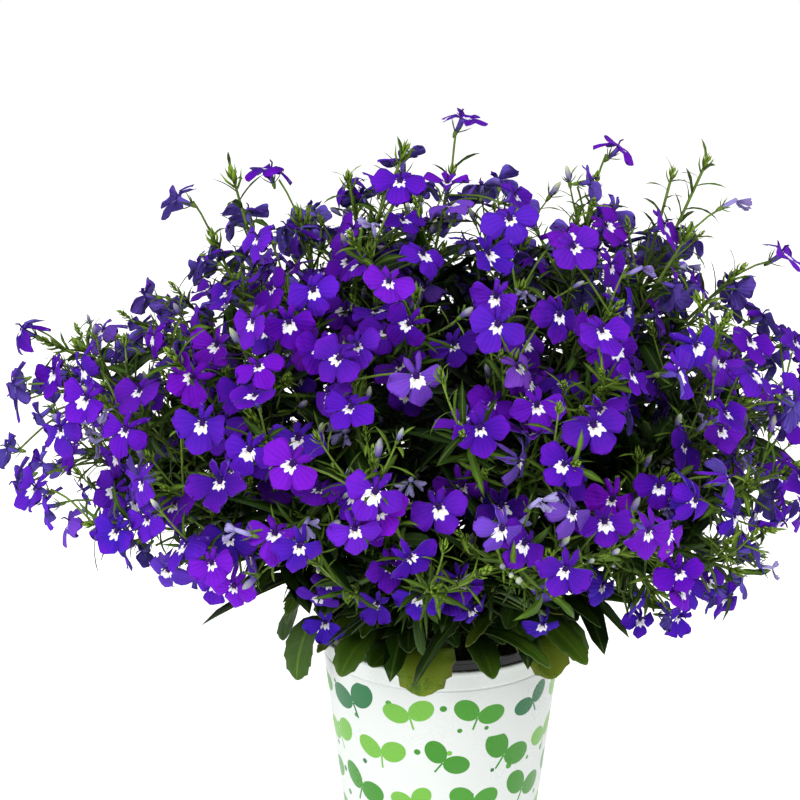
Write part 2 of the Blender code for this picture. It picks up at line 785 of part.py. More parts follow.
def fused(name, plant, materials, collection):
    """One leafy stem with all its shoots, blooms and leaves, joined into one solid."""
    stem = plant["shoots"][0]
    base = mesh_object(name, stem_shape(stem["points"], stem["radii"]), materials, collection)
    grown = new_collection(name + "_growth")
    for shoot in plant["shoots"]:
        if shoot is not stem:
            mesh_object("shoot", stem_shape(shoot["points"], shoot["radii"], True), materials, grown)
        for bloom in shoot["blooms"]:
            mesh_object("bloom", bloom_shape(bloom), materials, grown)
        for leaf in shoot["leaves"]:
            mesh_object("leaf", leaf_shape(leaf["points"], leaf["width"]), materials, grown)
    if plant["rim_leaf"]:
        leaf = plant["rim_leaf"]
        mesh_object("rim_leaf", rim_leaf_shape(leaf["points"], leaf["width"], leaf["across"]), materials, grown)
    join = base.modifiers.new("join", "BOOLEAN")
    join.operation = "UNION"
    join.solver = "EXACT"
    join.operand_type = "COLLECTION"
    join.collection = grown
    whole = evaluated_mesh(base)
    base.modifiers.clear()
    base.data = whole
    for piece in list(grown.objects):
        bpy.data.objects.remove(piece, do_unlink=True)
    bpy.data.collections.remove(grown)
    return base


def main():
    clear_scene()
    lobelia = new_collection("trailing_lobelia")
    new_collection("cutters")
    white = plain_material("white_plastic", (0.86, 0.87, 0.86), 0.35)
    black = plain_material("black_plastic", (0.015, 0.016, 0.017), 0.55)
    earth = plain_material("soil", (0.045, 0.030, 0.020), 0.95)
    green = plain_material("leaf_green", (0.10, 0.22, 0.045), 0.55)
    violet = plain_material("petal_violet", (0.16, 0.075, 0.62), 0.6)
    plants = grow_plant()
    outer_pot(white, lobelia)
    inner_pot(black, lobelia)
    potting_soil([plant["shoots"][0]["points"][0] for plant in plants], earth, lobelia)
    for number, plant in enumerate(plants, 1):
        fused(f"stem_{number:02d}", plant, [green, violet], lobelia)


main()
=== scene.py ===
import math
import random

import bmesh
import bpy
from mathutils import Matrix, Vector, noise
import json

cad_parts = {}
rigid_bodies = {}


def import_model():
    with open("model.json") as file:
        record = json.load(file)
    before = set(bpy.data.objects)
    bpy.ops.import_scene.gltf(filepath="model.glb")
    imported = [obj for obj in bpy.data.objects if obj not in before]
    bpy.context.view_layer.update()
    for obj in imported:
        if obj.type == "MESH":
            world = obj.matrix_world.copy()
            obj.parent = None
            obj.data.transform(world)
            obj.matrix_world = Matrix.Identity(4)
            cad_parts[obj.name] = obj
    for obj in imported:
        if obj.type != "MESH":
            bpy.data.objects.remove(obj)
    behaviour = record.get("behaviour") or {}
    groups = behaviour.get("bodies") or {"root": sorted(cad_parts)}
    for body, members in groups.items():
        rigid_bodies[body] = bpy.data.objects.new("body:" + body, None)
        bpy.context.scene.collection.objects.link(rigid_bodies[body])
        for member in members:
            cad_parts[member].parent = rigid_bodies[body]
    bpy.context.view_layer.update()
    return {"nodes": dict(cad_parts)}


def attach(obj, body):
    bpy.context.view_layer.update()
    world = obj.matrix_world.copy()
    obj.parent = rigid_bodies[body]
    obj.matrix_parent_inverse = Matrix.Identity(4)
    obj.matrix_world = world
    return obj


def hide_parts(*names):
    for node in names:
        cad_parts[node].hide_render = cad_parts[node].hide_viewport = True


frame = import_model()
print("frame loaded:", len(frame["nodes"]), "nodes")


# Where everything grows. The rule and its numbers are the part's own, so each flower lies over its solid.
up = Vector((0, 0, 1))
goldenAngle = math.pi * (3 - math.sqrt(5))

pot = {
    "sleeveHeight": 0.098,
    "sleeveRimRadius": 0.055,
    "sleeveFootRadius": 0.0436,
    "sleeveWall": 0.0012,
    "sleeveFloor": 0.002,
    "sleeveBead": 0.0009,
    "rimTop": 0.1035,
    "potWall": 0.001,
    "potFloor": 0.0014,
    "potLipRadius": 0.0557,
    "soilTop": 0.0945,
    "soilCrown": 0.0025,
    "gap": 0.0003,
}
pot["nurseryFloor"] = pot["sleeveFloor"] + pot["gap"]
mound = {
    "centre": Vector((-0.008, 0.0, pot["rimTop"] + 0.085)),
    "halfWidth": 0.185,
    "halfDepth": 0.160,
    "rise": 0.122,
    "drop": 0.105,
    "leftSlump": 2.2,
    "skirtSlopeLeft": 0.52,
    "skirtSlopeRight": 0.26,
    "skirtSlopeFront": 0.61,
    "skirtSlopeBack": 0.42,
    "leafyHalfWidth": 0.076,
    "leafyTop": pot["rimTop"] + 0.064,
}
growth = {
    "stems": 29,
    "shoots": 87,
    "blooms": 228,
    "leavesPerShoot": 1,
    "lowestShoot": math.radians(15),
    "lowestBloom": math.radians(13),
    "crownRadius": 0.034,
    "stemRadius": 0.0015,
    "shootRadius": 0.0013,
    "tipRadius": 0.0010,
    "tubeLength": 0.0075,
    "clear": 0.0004,
    "airCell": 0.012,
    "bloomTries": 60,
    "shootTries": 16,
    "leafTries": 10,
    "footDepth": 0.011,
}
rimMiddle = Vector((0, 0, pot["rimTop"]))

# Sprigs that stand clear of the mound and end in a flower, and green ones that end in a bare tip:
# (left to right, front to back, height over the rim)
flowerSprigs = [
    (-0.114, -0.020, 0.191),
    (-0.074, 0.000, 0.202),
    (0.006, 0.010, 0.223),
    (0.077, 0.000, 0.212),
    (0.122, -0.010, 0.190),
    (0.148, 0.010, 0.164),
    (-0.180, -0.010, 0.132),
    (-0.187, -0.010, 0.111),
    (-0.176, -0.020, 0.078),
    (-0.168, -0.040, 0.060),
    (-0.020, 0.150, 0.120),
    (0.070, 0.140, 0.150),
]
greenSprigs = [
    (-0.090, 0.000, 0.198),
    (-0.041, 0.010, 0.195),
    (-0.017, 0.000, 0.208),
    (0.097, 0.000, 0.199),
    (0.112, 0.005, 0.203),
    (-0.169, 0.000, 0.124),
]

# Low flowers under the edge of the mound, measured as the sprigs are
lowFlowers = [
    (-0.102, -0.090, 0.056),
    (-0.082, -0.110, 0.073),
    (-0.045, -0.100, 0.050),
    (-0.048, -0.075, 0.018),
    (-0.023, -0.120, 0.063),
    (0.002, -0.120, 0.059),
    (0.008, -0.100, 0.039),
    (0.040, -0.110, 0.055),
    (0.038, -0.088, 0.031),
    (0.078, -0.070, 0.024),
    (0.096, -0.060, 0.018),
    (0.124, -0.050, 0.036),
    (0.110, 0.020, 0.030),
    (-0.090, 0.020, 0.036),
    (0.060, 0.085, 0.036),
    (-0.040, 0.090, 0.036),
]

# The broad leaves over the rim:
# (turn round the pot from the front, length, width, how far it hangs, or rises below 0)
rimLeafPlan = [
    (-66, 0.046, 0.0140, 0.95),
    (-36, 0.042, 0.0130, 0.45),
    (-8, 0.042, 0.0185, 0.80),
    (15, 0.038, 0.0110, 0.20),
    (40, 0.040, 0.0170, 0.65),
    (61, 0.044, 0.0110, 0.80),
    (84, 0.052, 0.0095, 1.00),
    (118, 0.040, 0.0130, 0.50),
    (150, 0.044, 0.0120, 0.85),
    (180, 0.038, 0.0150, 0.40),
    (210, 0.044, 0.0120, 0.90),
    (240, 0.040, 0.0140, 0.55),
    (268, 0.046, 0.0115, 0.80),
    (-52, 0.050, 0.0125, -0.32),
    (-22, 0.048, 0.0130, -0.05),
    (3, 0.052, 0.0120, -0.38),
    (27, 0.050, 0.0125, -0.22),
    (52, 0.050, 0.0130, -0.40),
    (-82, 0.048, 0.0115, -0.15),
    (72, 0.050, 0.0110, -0.10),
    (132, 0.048, 0.0120, -0.30),
    (195, 0.050, 0.0120, -0.25),
    (225, 0.048, 0.0115, -0.30),
]


def sleeveRadius(height):
    # Outside of the white pot at a height
    foot, rim = pot["sleeveFootRadius"], pot["sleeveRimRadius"]
    return foot + (rim - foot) * height / pot["sleeveHeight"]


def nurseryRadius(height):
    # Outside of the black pot at a height, a little clear of the white one
    return sleeveRadius(height) - pot["sleeveWall"] - 2 * pot["gap"]


def soilHeight(radius):
    # The soil is heaped a little towards the middle
    edge = nurseryRadius(pot["soilTop"]) - pot["potWall"] - pot["gap"]
    return pot["soilTop"] + pot["soilCrown"] * (1 - (radius / edge) ** 2)


# Growth: where every stem, shoot, bloom and leaf goes
class Air:
    # The space that grown pieces have taken, as balls in a grid, so that no piece grows through another
    def __init__(self):
        self.cells = {}

    def cellOf(self, point):
        return tuple(math.floor(c / growth["airCell"]) for c in point)

    def isFree(self, balls, own, overRim=False):
        # True where balls touch nothing that was taken by another owner than those in own
        for point, radius in balls:
            if nearPot(point, radius) and not overRim:
                return False
            i, j, k = self.cellOf(point)
            for a in (i - 1, i, i + 1):
                for b in (j - 1, j, j + 1):
                    for c in (k - 1, k, k + 1):
                        for other, size, owner in self.cells.get((a, b, c), ()):
                            if owner not in own and (point - other).length < radius + size + growth["clear"]:
                                return False
        return True

    def take(self, balls, owner):
        for point, radius in balls:
            self.cells.setdefault(self.cellOf(point), []).append((point, radius, owner))


def nearPot(point, radius):
    room = radius + growth["clear"]
    return math.hypot(point.x, point.y) < pot["potLipRadius"] + room and point.z < pot["rimTop"] + room


def direction(elevation, turn):
    flat = math.cos(elevation)
    return Vector((flat * math.cos(turn), flat * math.sin(turn), math.sin(elevation)))


def roundPot(turn):
    # Level, away from the pot's axis, at a turn from the front
    return Vector((math.sin(turn), -math.cos(turn), 0))


def anyWay(draw):
    return Vector([draw.uniform(-1, 1) for _ in range(3)])


def lattice(index, count, lowest):
    # Even directions over a cap, from straight up down to the lowest elevation
    share = (index + 0.5) / count
    return math.asin(1 - share * (1 - math.sin(lowest))), index * goldenAngle


def moundReach(towards):
    # How far the mound reaches from the middle of the rim in a direction
    offset = rimMiddle - mound["centre"]
    reach = 0.2
    for _ in range(16):
        spot = offset + reach * towards
        rise = mound["rise"] * (1 + mound["leftSlump"] * min(0, spot.x + 0.02))
        size = Vector((mound["halfWidth"], mound["halfDepth"], rise if spot.z > 0 else mound["drop"]))
        reach /= math.sqrt(sum((s / h) ** 2 for s, h in zip(spot, size)))
    return reach


def skirtHeight(point):
    # The underside of the mound, a cone that rises from the rim, with its own slope on each side
    radius = max(math.hypot(point.x, point.y), 0.001)
    across = (point.x / radius) ** 2
    side = mound["skirtSlopeRight"] if point.x > 0 else mound["skirtSlopeLeft"]
    middle = mound["skirtSlopeFront"] if point.y < 0 else mound["skirtSlopeBack"]
    slope = across * side + (1 - across) * middle
    return pot["rimTop"] + slope * max(0, radius - pot["potLipRadius"])


def amongLeaves(point):
    # True for the leafy place in front, low over the rim
    return point.y < -0.06 and abs(point.x) < mound["leafyHalfWidth"] and point.z < mound["leafyTop"]


def bend(start, control, end, count):
    # Points along a quadratic curve
    made = []
    for k in range(count):
        t = k / (count - 1)
        made.append((1 - t) ** 2 * start + 2 * t * (1 - t) * control + t * t * end)
    return made


def along(points, share):
    # The point at a share of the path's length, and the direction there
    left = min(max(share, 0), 1) * pathLength(points)
    for a, b in zip(points, points[1:]):
        step = (b - a).length
        if left <= step or b is points[-1]:
            return a.lerp(b, min(left / step, 1)), (b - a) / step
        left -= step


def pathLength(points):
    return sum((b - a).length for a, b in zip(points, points[1:]))


def ballsAlong(points, radius, start=0.0):
    # Balls that cover a path, from a distance after its start
    length = pathLength(points)
    first = min(start / length, 0.9)
    count = max(2, math.ceil((1 - first) * length / (1.4 * radius)))
    return [(along(points, first + (1 - first) * k / (count - 1))[0], radius) for k in range(count)]


def sideways(tangent, turn):
    # A unit vector square to tangent, turned about it
    aside = tangent.cross(up if abs(tangent.z) < 0.9 else Vector((0, 1, 0))).normalized()
    return Matrix.Rotation(turn, 3, tangent) @ aside


def chooseLeaders(tips):
    # The tips of the main stems: each next one is the farthest from those chosen before it
    chosen = [0]
    while len(chosen) < growth["stems"]:
        gaps = [min((tip - tips[c]).length for c in chosen) for tip in tips]
        chosen.append(gaps.index(max(gaps)))
    return chosen


def shootTip(index):
    draw = random.Random(300 + index)
    elevation, turn = lattice(index, growth["shoots"], growth["lowestShoot"])
    towards = direction(elevation + draw.uniform(-0.03, 0.03), turn + draw.uniform(-0.05, 0.05))
    tip = rimMiddle + draw.uniform(0.84, 0.93) * moundReach(towards) * towards
    tip.z = max(tip.z, skirtHeight(tip) + 0.012)
    return tip


def allTips():
    # The tips of all shoots; the one nearest to a sprig is drawn out to it
    tips = [shootTip(index) for index in range(growth["shoots"])]
    drawn = []
    for x, y, z in flowerSprigs + greenSprigs:
        end = rimMiddle + Vector((x, y, z))
        if len(drawn) < len(flowerSprigs):
            end -= 0.024 * (end - mound["centre"]).normalized()
        free = [k for k in range(growth["shoots"]) if k not in drawn]
        nearest = min(free, key=lambda k: (tips[k] - end).length)
        tips[nearest] = end
        drawn.append(nearest)
    return tips


def mainStem(order, tip, index, air):
    # One stem from its foot in the soil to its tip on the mound
    draw = random.Random(100 + index)
    flat = Vector((tip.x, tip.y, 0))
    steep = math.atan2(tip.z - pot["rimTop"], flat.length)
    rootRadius = growth["crownRadius"] * math.sqrt(order)
    turn = math.atan2(tip.y, tip.x)
    collar = Vector((rootRadius * math.cos(turn), rootRadius * math.sin(turn), 0))
    collar.z = soilHeight(rootRadius) + 0.002
    foot = Vector((collar.x, collar.y, soilHeight(rootRadius) - growth["footDepth"]))
    for attempt in range(growth["shootTries"]):
        control = collar.lerp(tip, 0.36) + 0.052 * math.cos(steep) * up
        control += 0.002 * attempt * Vector((draw.uniform(-1, 1), draw.uniform(-1, 1), 0))
        points = [foot] + bend(collar, control, tip, 6)
        if air.isFree(ballsAlong(points[1:], 0.0018), ()):
            break
    name = ("stem", index)
    air.take(ballsAlong(points, 0.0018), name)
    radii = (growth["stemRadius"], growth["tipRadius"])
    return {"name": name, "points": points, "radii": radii, "draw": draw}


def sideShoot(index, tip, stems, air):
    # A shoot that leaves one of the nearest stems part of the way up and ends at its own tip
    draw = random.Random(500 + index)
    for attempt in range(growth["shootTries"]):
        stem = stems[attempt % len(stems)]
        base, tangent = along(stem["points"], draw.uniform(0.38, 0.64))
        aside = (tip - base) - (tip - base).dot(tangent) * tangent
        control = base + 0.5 * (tip - base).length * (tangent + 0.55 * aside.normalized()).normalized()
        control += draw.uniform(0, 0.004 + 0.002 * attempt) * up
        points = bend(base, control, tip, 4)
        if air.isFree(ballsAlong(points, 0.0016, 0.008), {stem["name"]}):
            name = ("shoot", index)
            air.take(ballsAlong(points, 0.0016), name)
            radii = (growth["shootRadius"], growth["tipRadius"])
            return {"name": name, "points": points, "radii": radii, "draw": draw}, stem
    return None, None


def bloomAxes(facing, roll):
    # The bloom's sideways, upright and forward directions: its lip hangs down, turned a little by roll
    out = facing.normalized()
    lip = 0.35 * Vector((out.x, out.y, 0)) - up
    upright = -(lip - lip.dot(out) * out).normalized()
    upright = Matrix.Rotation(roll, 3, out) @ upright
    return upright.cross(out).normalized(), upright, out


def bloomBalls(place, axes, size):
    across, upright, out = axes
    spots = [
        (0, 0, -0.0010, 0.0030),
        (0.0076, -0.0012, -0.0004, 0.0026),
        (-0.0076, -0.0012, -0.0004, 0.0026),
        (0.0046, -0.0020, -0.0010, 0.0026),
        (-0.0046, -0.0020, -0.0010, 0.0026),
        (0, -0.0084, 0.0010, 0.0026),
        (0, -0.0050, 0, 0.0026),
        (0.0022, 0.0062, -0.0010, 0.0020),
        (-0.0022, 0.0062, -0.0010, 0.0020),
        (0, 0, -0.0045, 0.0022),
    ]
    return [(place + size * (x * across + y * upright + z * out), size * radius) for x, y, z, radius in spots]


def findRoot(place, out, shoots):
    # The spot on a shoot that a bloom's stalk can best grow from
    best = None
    for shoot in shoots:
        crowd = 0.004 * max(0, len(shoot["blooms"]) - 3)
        if (shoot["points"][-1] - place).length > 0.075:
            continue
        length = pathLength(shoot["points"])
        for k in range(14):
            root, tangent = along(shoot["points"], 1 - (0.0015 + 0.0045 * k) / length)
            if any((bloom["root"] - root).length < 0.0035 for bloom in shoot["blooms"]):
                continue
            stalk = place - root
            reach = stalk.length
            if not 0.012 < reach < 0.042 or stalk.dot(out) < 0.35 * reach:
                continue
            cost = abs(reach - 0.024) + crowd + 0.010 * (1 - stalk.dot(out) / reach)
            if root.z > pot["rimTop"] + 0.010 and (best is None or cost < best[0]):
                best = (cost, shoot, root)
    return best


def growBloom(name, draw, target, spread, shoots, air):
    # A bloom near its target, on a stalk from the nearest fitting shoot
    for attempt in range(growth["bloomTries"]):
        near = spread * (0.3 + attempt / growth["bloomTries"])
        place = target + near * anyWay(draw)
        place.z = max(place.z, skirtHeight(place) + draw.uniform(0, 0.006))
        facing = place - mound["centre"]
        facing.z = 0.45 * facing.z + 0.010
        wobble = anyWay(draw)
        axes = bloomAxes(facing.normalized() + 0.32 * wobble, draw.uniform(-0.4, 0.4))
        size = draw.uniform(0.90, 1.08)
        found = findRoot(place, axes[2], shoots)
        if found is None:
            continue
        _, shoot, root = found
        back = place - size * growth["tubeLength"] * axes[2]
        head = bloomBalls(place, axes, size)
        stalk = ballsAlong([root, back], 0.0009, 0.003)
        tube = ballsAlong([back, place], 0.0016)
        if air.isFree(head + stalk + tube, {shoot["name"]}):
            air.take(head + stalk + tube, name)
            bloom = {"root": root, "place": place, "axes": axes, "size": size, "name": name}
            shoot["blooms"].append(bloom)
            return bloom
    return None


def growLeaf(name, share, shoot, air):
    # A narrow leaf on the bare stretch of a shoot
    draw = shoot["draw"]
    for attempt in range(growth["leafTries"]):
        base, tangent = along(shoot["points"], share + draw.uniform(-0.08, 0.08))
        if base.z < pot["rimTop"] + 0.010:
            continue
        lean = math.radians(draw.uniform(35, 62))
        aside = sideways(tangent, draw.uniform(0, math.tau))
        heading = math.cos(lean) * tangent + math.sin(lean) * aside
        length = draw.uniform(0.019, 0.028)
        end = base + length * (heading - draw.uniform(0.05, 0.35) * up)
        points = bend(base, base + 0.5 * length * heading, end, 3)
        balls = ballsAlong(points, 0.0022, 0.003)
        if air.isFree(balls, {shoot["name"]}):
            air.take(balls, name)
            shoot["leaves"].append({"points": points, "width": draw.uniform(0.0032, 0.0044)})
            return


def rimLeaf(stem, turn, length, hang):
    # A broad leaf's midrib: out from the stem, over the rim and down outside the pot
    flat = roundPot(turn)
    base, _ = along(stem["points"], 0.16)
    over = (pot["potLipRadius"] + 0.003) * flat
    over.z = pot["rimTop"] + 0.006
    rest = max(length - (over - base).length, 0.018)
    drop = math.radians(5 + 72 * hang)
    end = over + rest * (math.cos(drop) * flat - math.sin(drop) * up) + 0.004 * hang * flat
    knee = over + 0.40 * rest * flat
    return [base] + bend(over, knee, end, 6)


def growRimLeaves(stems, air):
    # Each broad leaf grows from the stem that leans most towards its place on the rim
    grown = {}
    for k, (degrees, length, width, hang) in enumerate(rimLeafPlan):
        turn = math.radians(degrees)
        flat = roundPot(turn)
        bare = [s for s in stems if s["name"] not in grown]
        bare.sort(key=lambda s: -along(s["points"], 0.3)[0].dot(flat))
        for stem in bare:
            points = rimLeaf(stem, turn, length, hang)
            balls = ballsAlong(points, 0.35 * width, 0.016) + ballsAlong(points, 0.0015, 0.003)
            if air.isFree(balls, {stem["name"]}, overRim=True):
                air.take(balls, ("rim leaf", k))
                grown[stem["name"]] = {"points": points, "width": width, "across": flat.cross(up)}
                break
    return grown


def growPlant():
    # Each main stem with its shoots, blooms and leaves, always drawn in the same order
    air = Air()
    tips = allTips()
    leaders = chooseLeaders(tips)
    byHeight = sorted(range(growth["stems"]), key=lambda k: -tips[leaders[k]].normalized().z)
    orders = {k: (place + 0.5) / growth["stems"] for place, k in enumerate(byHeight)}
    stems = [mainStem(orders[k], tips[leaders[k]], k, air) for k in range(growth["stems"])]
    rimLeaves = growRimLeaves(stems, air)
    plants = [[stem] for stem in stems]
    for index, tip in enumerate(tips):
        if index not in leaders:
            # a stem that has shoots already seems a little farther away
            crowd = {s["name"]: 0.01 * len(plants[s["name"][1]]) for s in stems}
            near = sorted(stems, key=lambda s: (s["points"][-1] - tip).length + crowd[s["name"]])
            shoot, stem = sideShoot(index, tip, near[:3], air)
            if shoot:
                plants[stem["name"][1]].append(shoot)
    shoots = [shoot for plant in plants for shoot in plant]
    for shoot in shoots:
        shoot["blooms"] = []
        shoot["leaves"] = []
    for k, (x, y, z) in enumerate(flowerSprigs + lowFlowers):
        target = rimMiddle + Vector((x, y, z))
        growBloom(("lone bloom", k), random.Random(900 + k), target, 0.008, shoots, air)
    for k in range(growth["blooms"]):
        draw = random.Random(1000 + k)
        towards = direction(*lattice(k, growth["blooms"], growth["lowestBloom"]))
        layer = draw.uniform(0.88, 1.0) if k % 4 else draw.uniform(0.72, 0.86)
        target = rimMiddle + layer * moundReach(towards) * towards
        if not amongLeaves(target):
            growBloom(("bloom", k), draw, target, 0.013, shoots, air)
    for shoot in shoots:
        for k in range(growth["leavesPerShoot"]):
            growLeaf(("leaf", shoot["name"], k), 0.45 + 0.25 * k, shoot, air)
    return [{"shoots": plant, "rimLeaf": rimLeaves.get(plant[0]["name"])} for plant in plants], air


plants, air = growPlant()
print("plant laid out:", sum(len(s["blooms"]) for p in plants for s in p["shoots"]), "flowers")


# Small helpers for nodes
class Field:
    # A node's output that can be reckoned with, so that a rule made of nodes reads like plain sums
    def __init__(self, tree, socket):
        self.tree = tree
        self.socket = socket

    def reckon(self, operation, *others):
        return addField(self.tree, "ShaderNodeMath", dict(enumerate((self, *others))), operation=operation)

    def __rsub__(self, other):
        return addField(self.tree, "ShaderNodeMath", {0: other, 1: self}, operation="SUBTRACT")


for method, operation in {
    "__add__": "ADD",
    "__sub__": "SUBTRACT",
    "__mul__": "MULTIPLY",
    "__truediv__": "DIVIDE",
    "__pow__": "POWER",
    "__abs__": "ABSOLUTE",
    "__lt__": "LESS_THAN",
    "__gt__": "GREATER_THAN",
}.items():
    setattr(Field, method, lambda self, *others, operation=operation: self.reckon(operation, *others))


def addNode(tree, kind, sockets=None, **settings):
    # A node with its settings, and its sockets given a value or joined to another node's output
    made = tree.nodes.new(kind)
    for key, value in settings.items():
        setattr(made, key, value)
    for key, value in (sockets or {}).items():
        value = value.socket if isinstance(value, Field) else value
        if isinstance(value, bpy.types.NodeSocket):
            tree.links.new(value, made.inputs[key])
        elif made.inputs[key].type == "RGBA":
            made.inputs[key].default_value = (*value[:3], 1)
        else:
            made.inputs[key].default_value = value
    return made


def addField(tree, kind, sockets=None, output=0, **settings):
    return Field(tree, addNode(tree, kind, sockets, **settings).outputs[output])


def fieldsOf(tree, node):
    # All outputs of a node by name
    return {socket.name: Field(tree, socket) for socket in node.outputs}


# Shader helpers and the effects that several materials share
def newMaterial(name):
    material = bpy.data.materials.new(name)
    material.use_nodes = True
    return material, material.node_tree, material.node_tree.nodes["Principled BSDF"]


def attributes(tree, *names):
    return [addField(tree, "ShaderNodeAttribute", output="Fac", attribute_name=name) for name in names]


def mixed(share, a, b, blend="MIX"):
    tree = next(item.tree for item in (share, a, b) if isinstance(item, Field))
    return addField(tree, "ShaderNodeMix", {0: share, 6: a, 7: b}, 2, data_type="RGBA", blend_type=blend)


def between(value, low, high):
    # 0 below low, 1 above high
    sockets = {0: value, 1: low, 2: high}
    return addField(value.tree, "ShaderNodeMapRange", sockets, interpolation_type="SMOOTHSTEP")


def colourRamp(value, stops, interpolation="LINEAR"):
    made = addNode(value.tree, "ShaderNodeValToRGB", {0: value})
    ramp = made.color_ramp
    ramp.interpolation = interpolation
    while len(ramp.elements) < len(stops):
        ramp.elements.new(0.5)
    for element, (place, colour) in zip(ramp.elements, stops):
        element.position = place
        element.color = (*colour, 1)
    return Field(value.tree, made.outputs[0])


def newGroup(name, inputs, outputs):
    # A shader node group with its inputs, and the piece's own coordinates
    group = bpy.data.node_groups.new(name, "ShaderNodeTree")
    for label, value in inputs.items():
        kind = "NodeSocketFloat" if isinstance(value, float) else "NodeSocketVector"
        group.interface.new_socket(label, in_out="INPUT", socket_type=kind).default_value = value
    for label in outputs:
        group.interface.new_socket(label, in_out="OUTPUT", socket_type="NodeSocketFloat")
    place = addField(group, "ShaderNodeTexCoord", output="Object")
    return group, fieldsOf(group, addNode(group, "NodeGroupInput")), place


def grainGroup():
    # Fine and coarse grain: a mask to vary colour and gloss, and a height for bump
    inputs = {"Fine Scale": 900.0, "Coarse Scale": 60.0, "Coarse Share": 0.5}
    group, given, place = newGroup("surfaceGrain", inputs, ("Mask", "Height"))
    noises = []
    for scale, detail in (("Fine Scale", 3.0), ("Coarse Scale", 2.0)):
        sockets = {"Vector": place, "Scale": given[scale], "Detail": detail}
        noises.append(addField(group, "ShaderNodeTexNoise", sockets))
    fine, coarse = noises
    mask = addField(group, "ShaderNodeMix", {0: given["Coarse Share"], 2: fine, 3: coarse}, data_type="FLOAT")
    addNode(group, "NodeGroupOutput", {"Mask": mask, "Height": fine})
    return group


def paintedShadeGroup():
    # How deep inside the mound a place is: 0 at its outside, 1 well within, where the colour is given painted
    # shade
    size = Vector((mound["halfWidth"], mound["halfDepth"], mound["rise"]))
    inputs = {"Centre": mound["centre"], "Size": size, "Inner": 0.40, "Outer": 0.90}
    group, given, place = newGroup("paintedMoundShade", inputs, ("Depth",))
    offset = addField(group, "ShaderNodeVectorMath", {0: place, 1: given["Centre"]}, operation="SUBTRACT")
    share = addField(group, "ShaderNodeVectorMath", {0: offset, 1: given["Size"]}, operation="DIVIDE")
    far = addField(group, "ShaderNodeVectorMath", {0: share}, "Value", operation="LENGTH")
    sockets = {0: far, 1: given["Inner"], 2: given["Outer"], 3: 1.0, 4: 0.0}
    addNode(group, "NodeGroupOutput", {"Depth": addField(group, "ShaderNodeMapRange", sockets)})
    return group


surfaceGrain = grainGroup()
paintedMoundShade = paintedShadeGroup()


def placeGroup(tree, group, values):
    made = addNode(tree, "ShaderNodeGroup", node_tree=group)
    for key, value in values.items():
        made.inputs[key].default_value = value
    return fieldsOf(tree, made)


def withPaintedShade(colour, darkest):
    # The colour with painted shade: darker inside the mound, where the leaves and flowers shade each other
    depth = placeGroup(colour.tree, paintedMoundShade, {"Inner": 0.40, "Outer": 0.90})["Depth"]
    return mixed(depth, colour, mixed(1.0, colour, (darkest, darkest, darkest), "MULTIPLY"))


def grain(tree, fineScale, coarseScale, coarseShare):
    values = {"Fine Scale": fineScale, "Coarse Scale": coarseScale, "Coarse Share": coarseShare}
    return placeGroup(tree, surfaceGrain, values)


def coat(tree, shader, colour, marks, rough, height, strength, distance):
    # Colour, a roughness between two values that follows the grain, and relief
    tree.links.new(colour.socket, shader.inputs["Base Color"])
    sockets = {0: marks["Mask"], 1: 0.3, 2: 0.7, 3: rough[0], 4: rough[1]}
    tree.links.new(addNode(tree, "ShaderNodeMapRange", sockets).outputs[0], shader.inputs["Roughness"])
    bump = addNode(tree, "ShaderNodeBump", {"Height": height})
    bump.inputs["Strength"].default_value = strength
    bump.inputs["Distance"].default_value = distance
    tree.links.new(bump.outputs[0], shader.inputs["Normal"])


# Petals
petalLook = {
    "deep": (0.020, 0.001, 0.160),
    "middle": (0.056, 0.002, 0.265),
    "bright": (0.130, 0.004, 0.400),
    # the lighter tips are painted light showing through the thin lobes
    "tip": (0.140, 0.005, 0.440),
    "blue": (0.036, 0.014, 0.400),
    "back": (0.130, 0.095, 0.460),
    "eye": (0.820, 0.800, 0.880),
    # the dark of the throat is painted shade down the tube
    "throat": (0.030, 0.008, 0.090),
    "mark": (0.420, 0.400, 0.060),
    "faded": (0.340, 0.310, 0.520),
    "bud": (0.200, 0.170, 0.380),
    "budTip": (0.400, 0.460, 0.270),
    "paintedInnerShade": 0.34,
    "sheen": 0.05,
    "specular": 0.02,
    "veinFan": 17.0,
    "foldScale": 190.0,
    # the white eye under the throat, in millimetres
    "eyeCentre": 0.3,
    "eyeReach": 4.1,
    "eyeTooth": 0.50,
    "eyeRays": 10.5,
    "eyeNarrow": 0.72,
    "eyeRagged": 3.0,
}


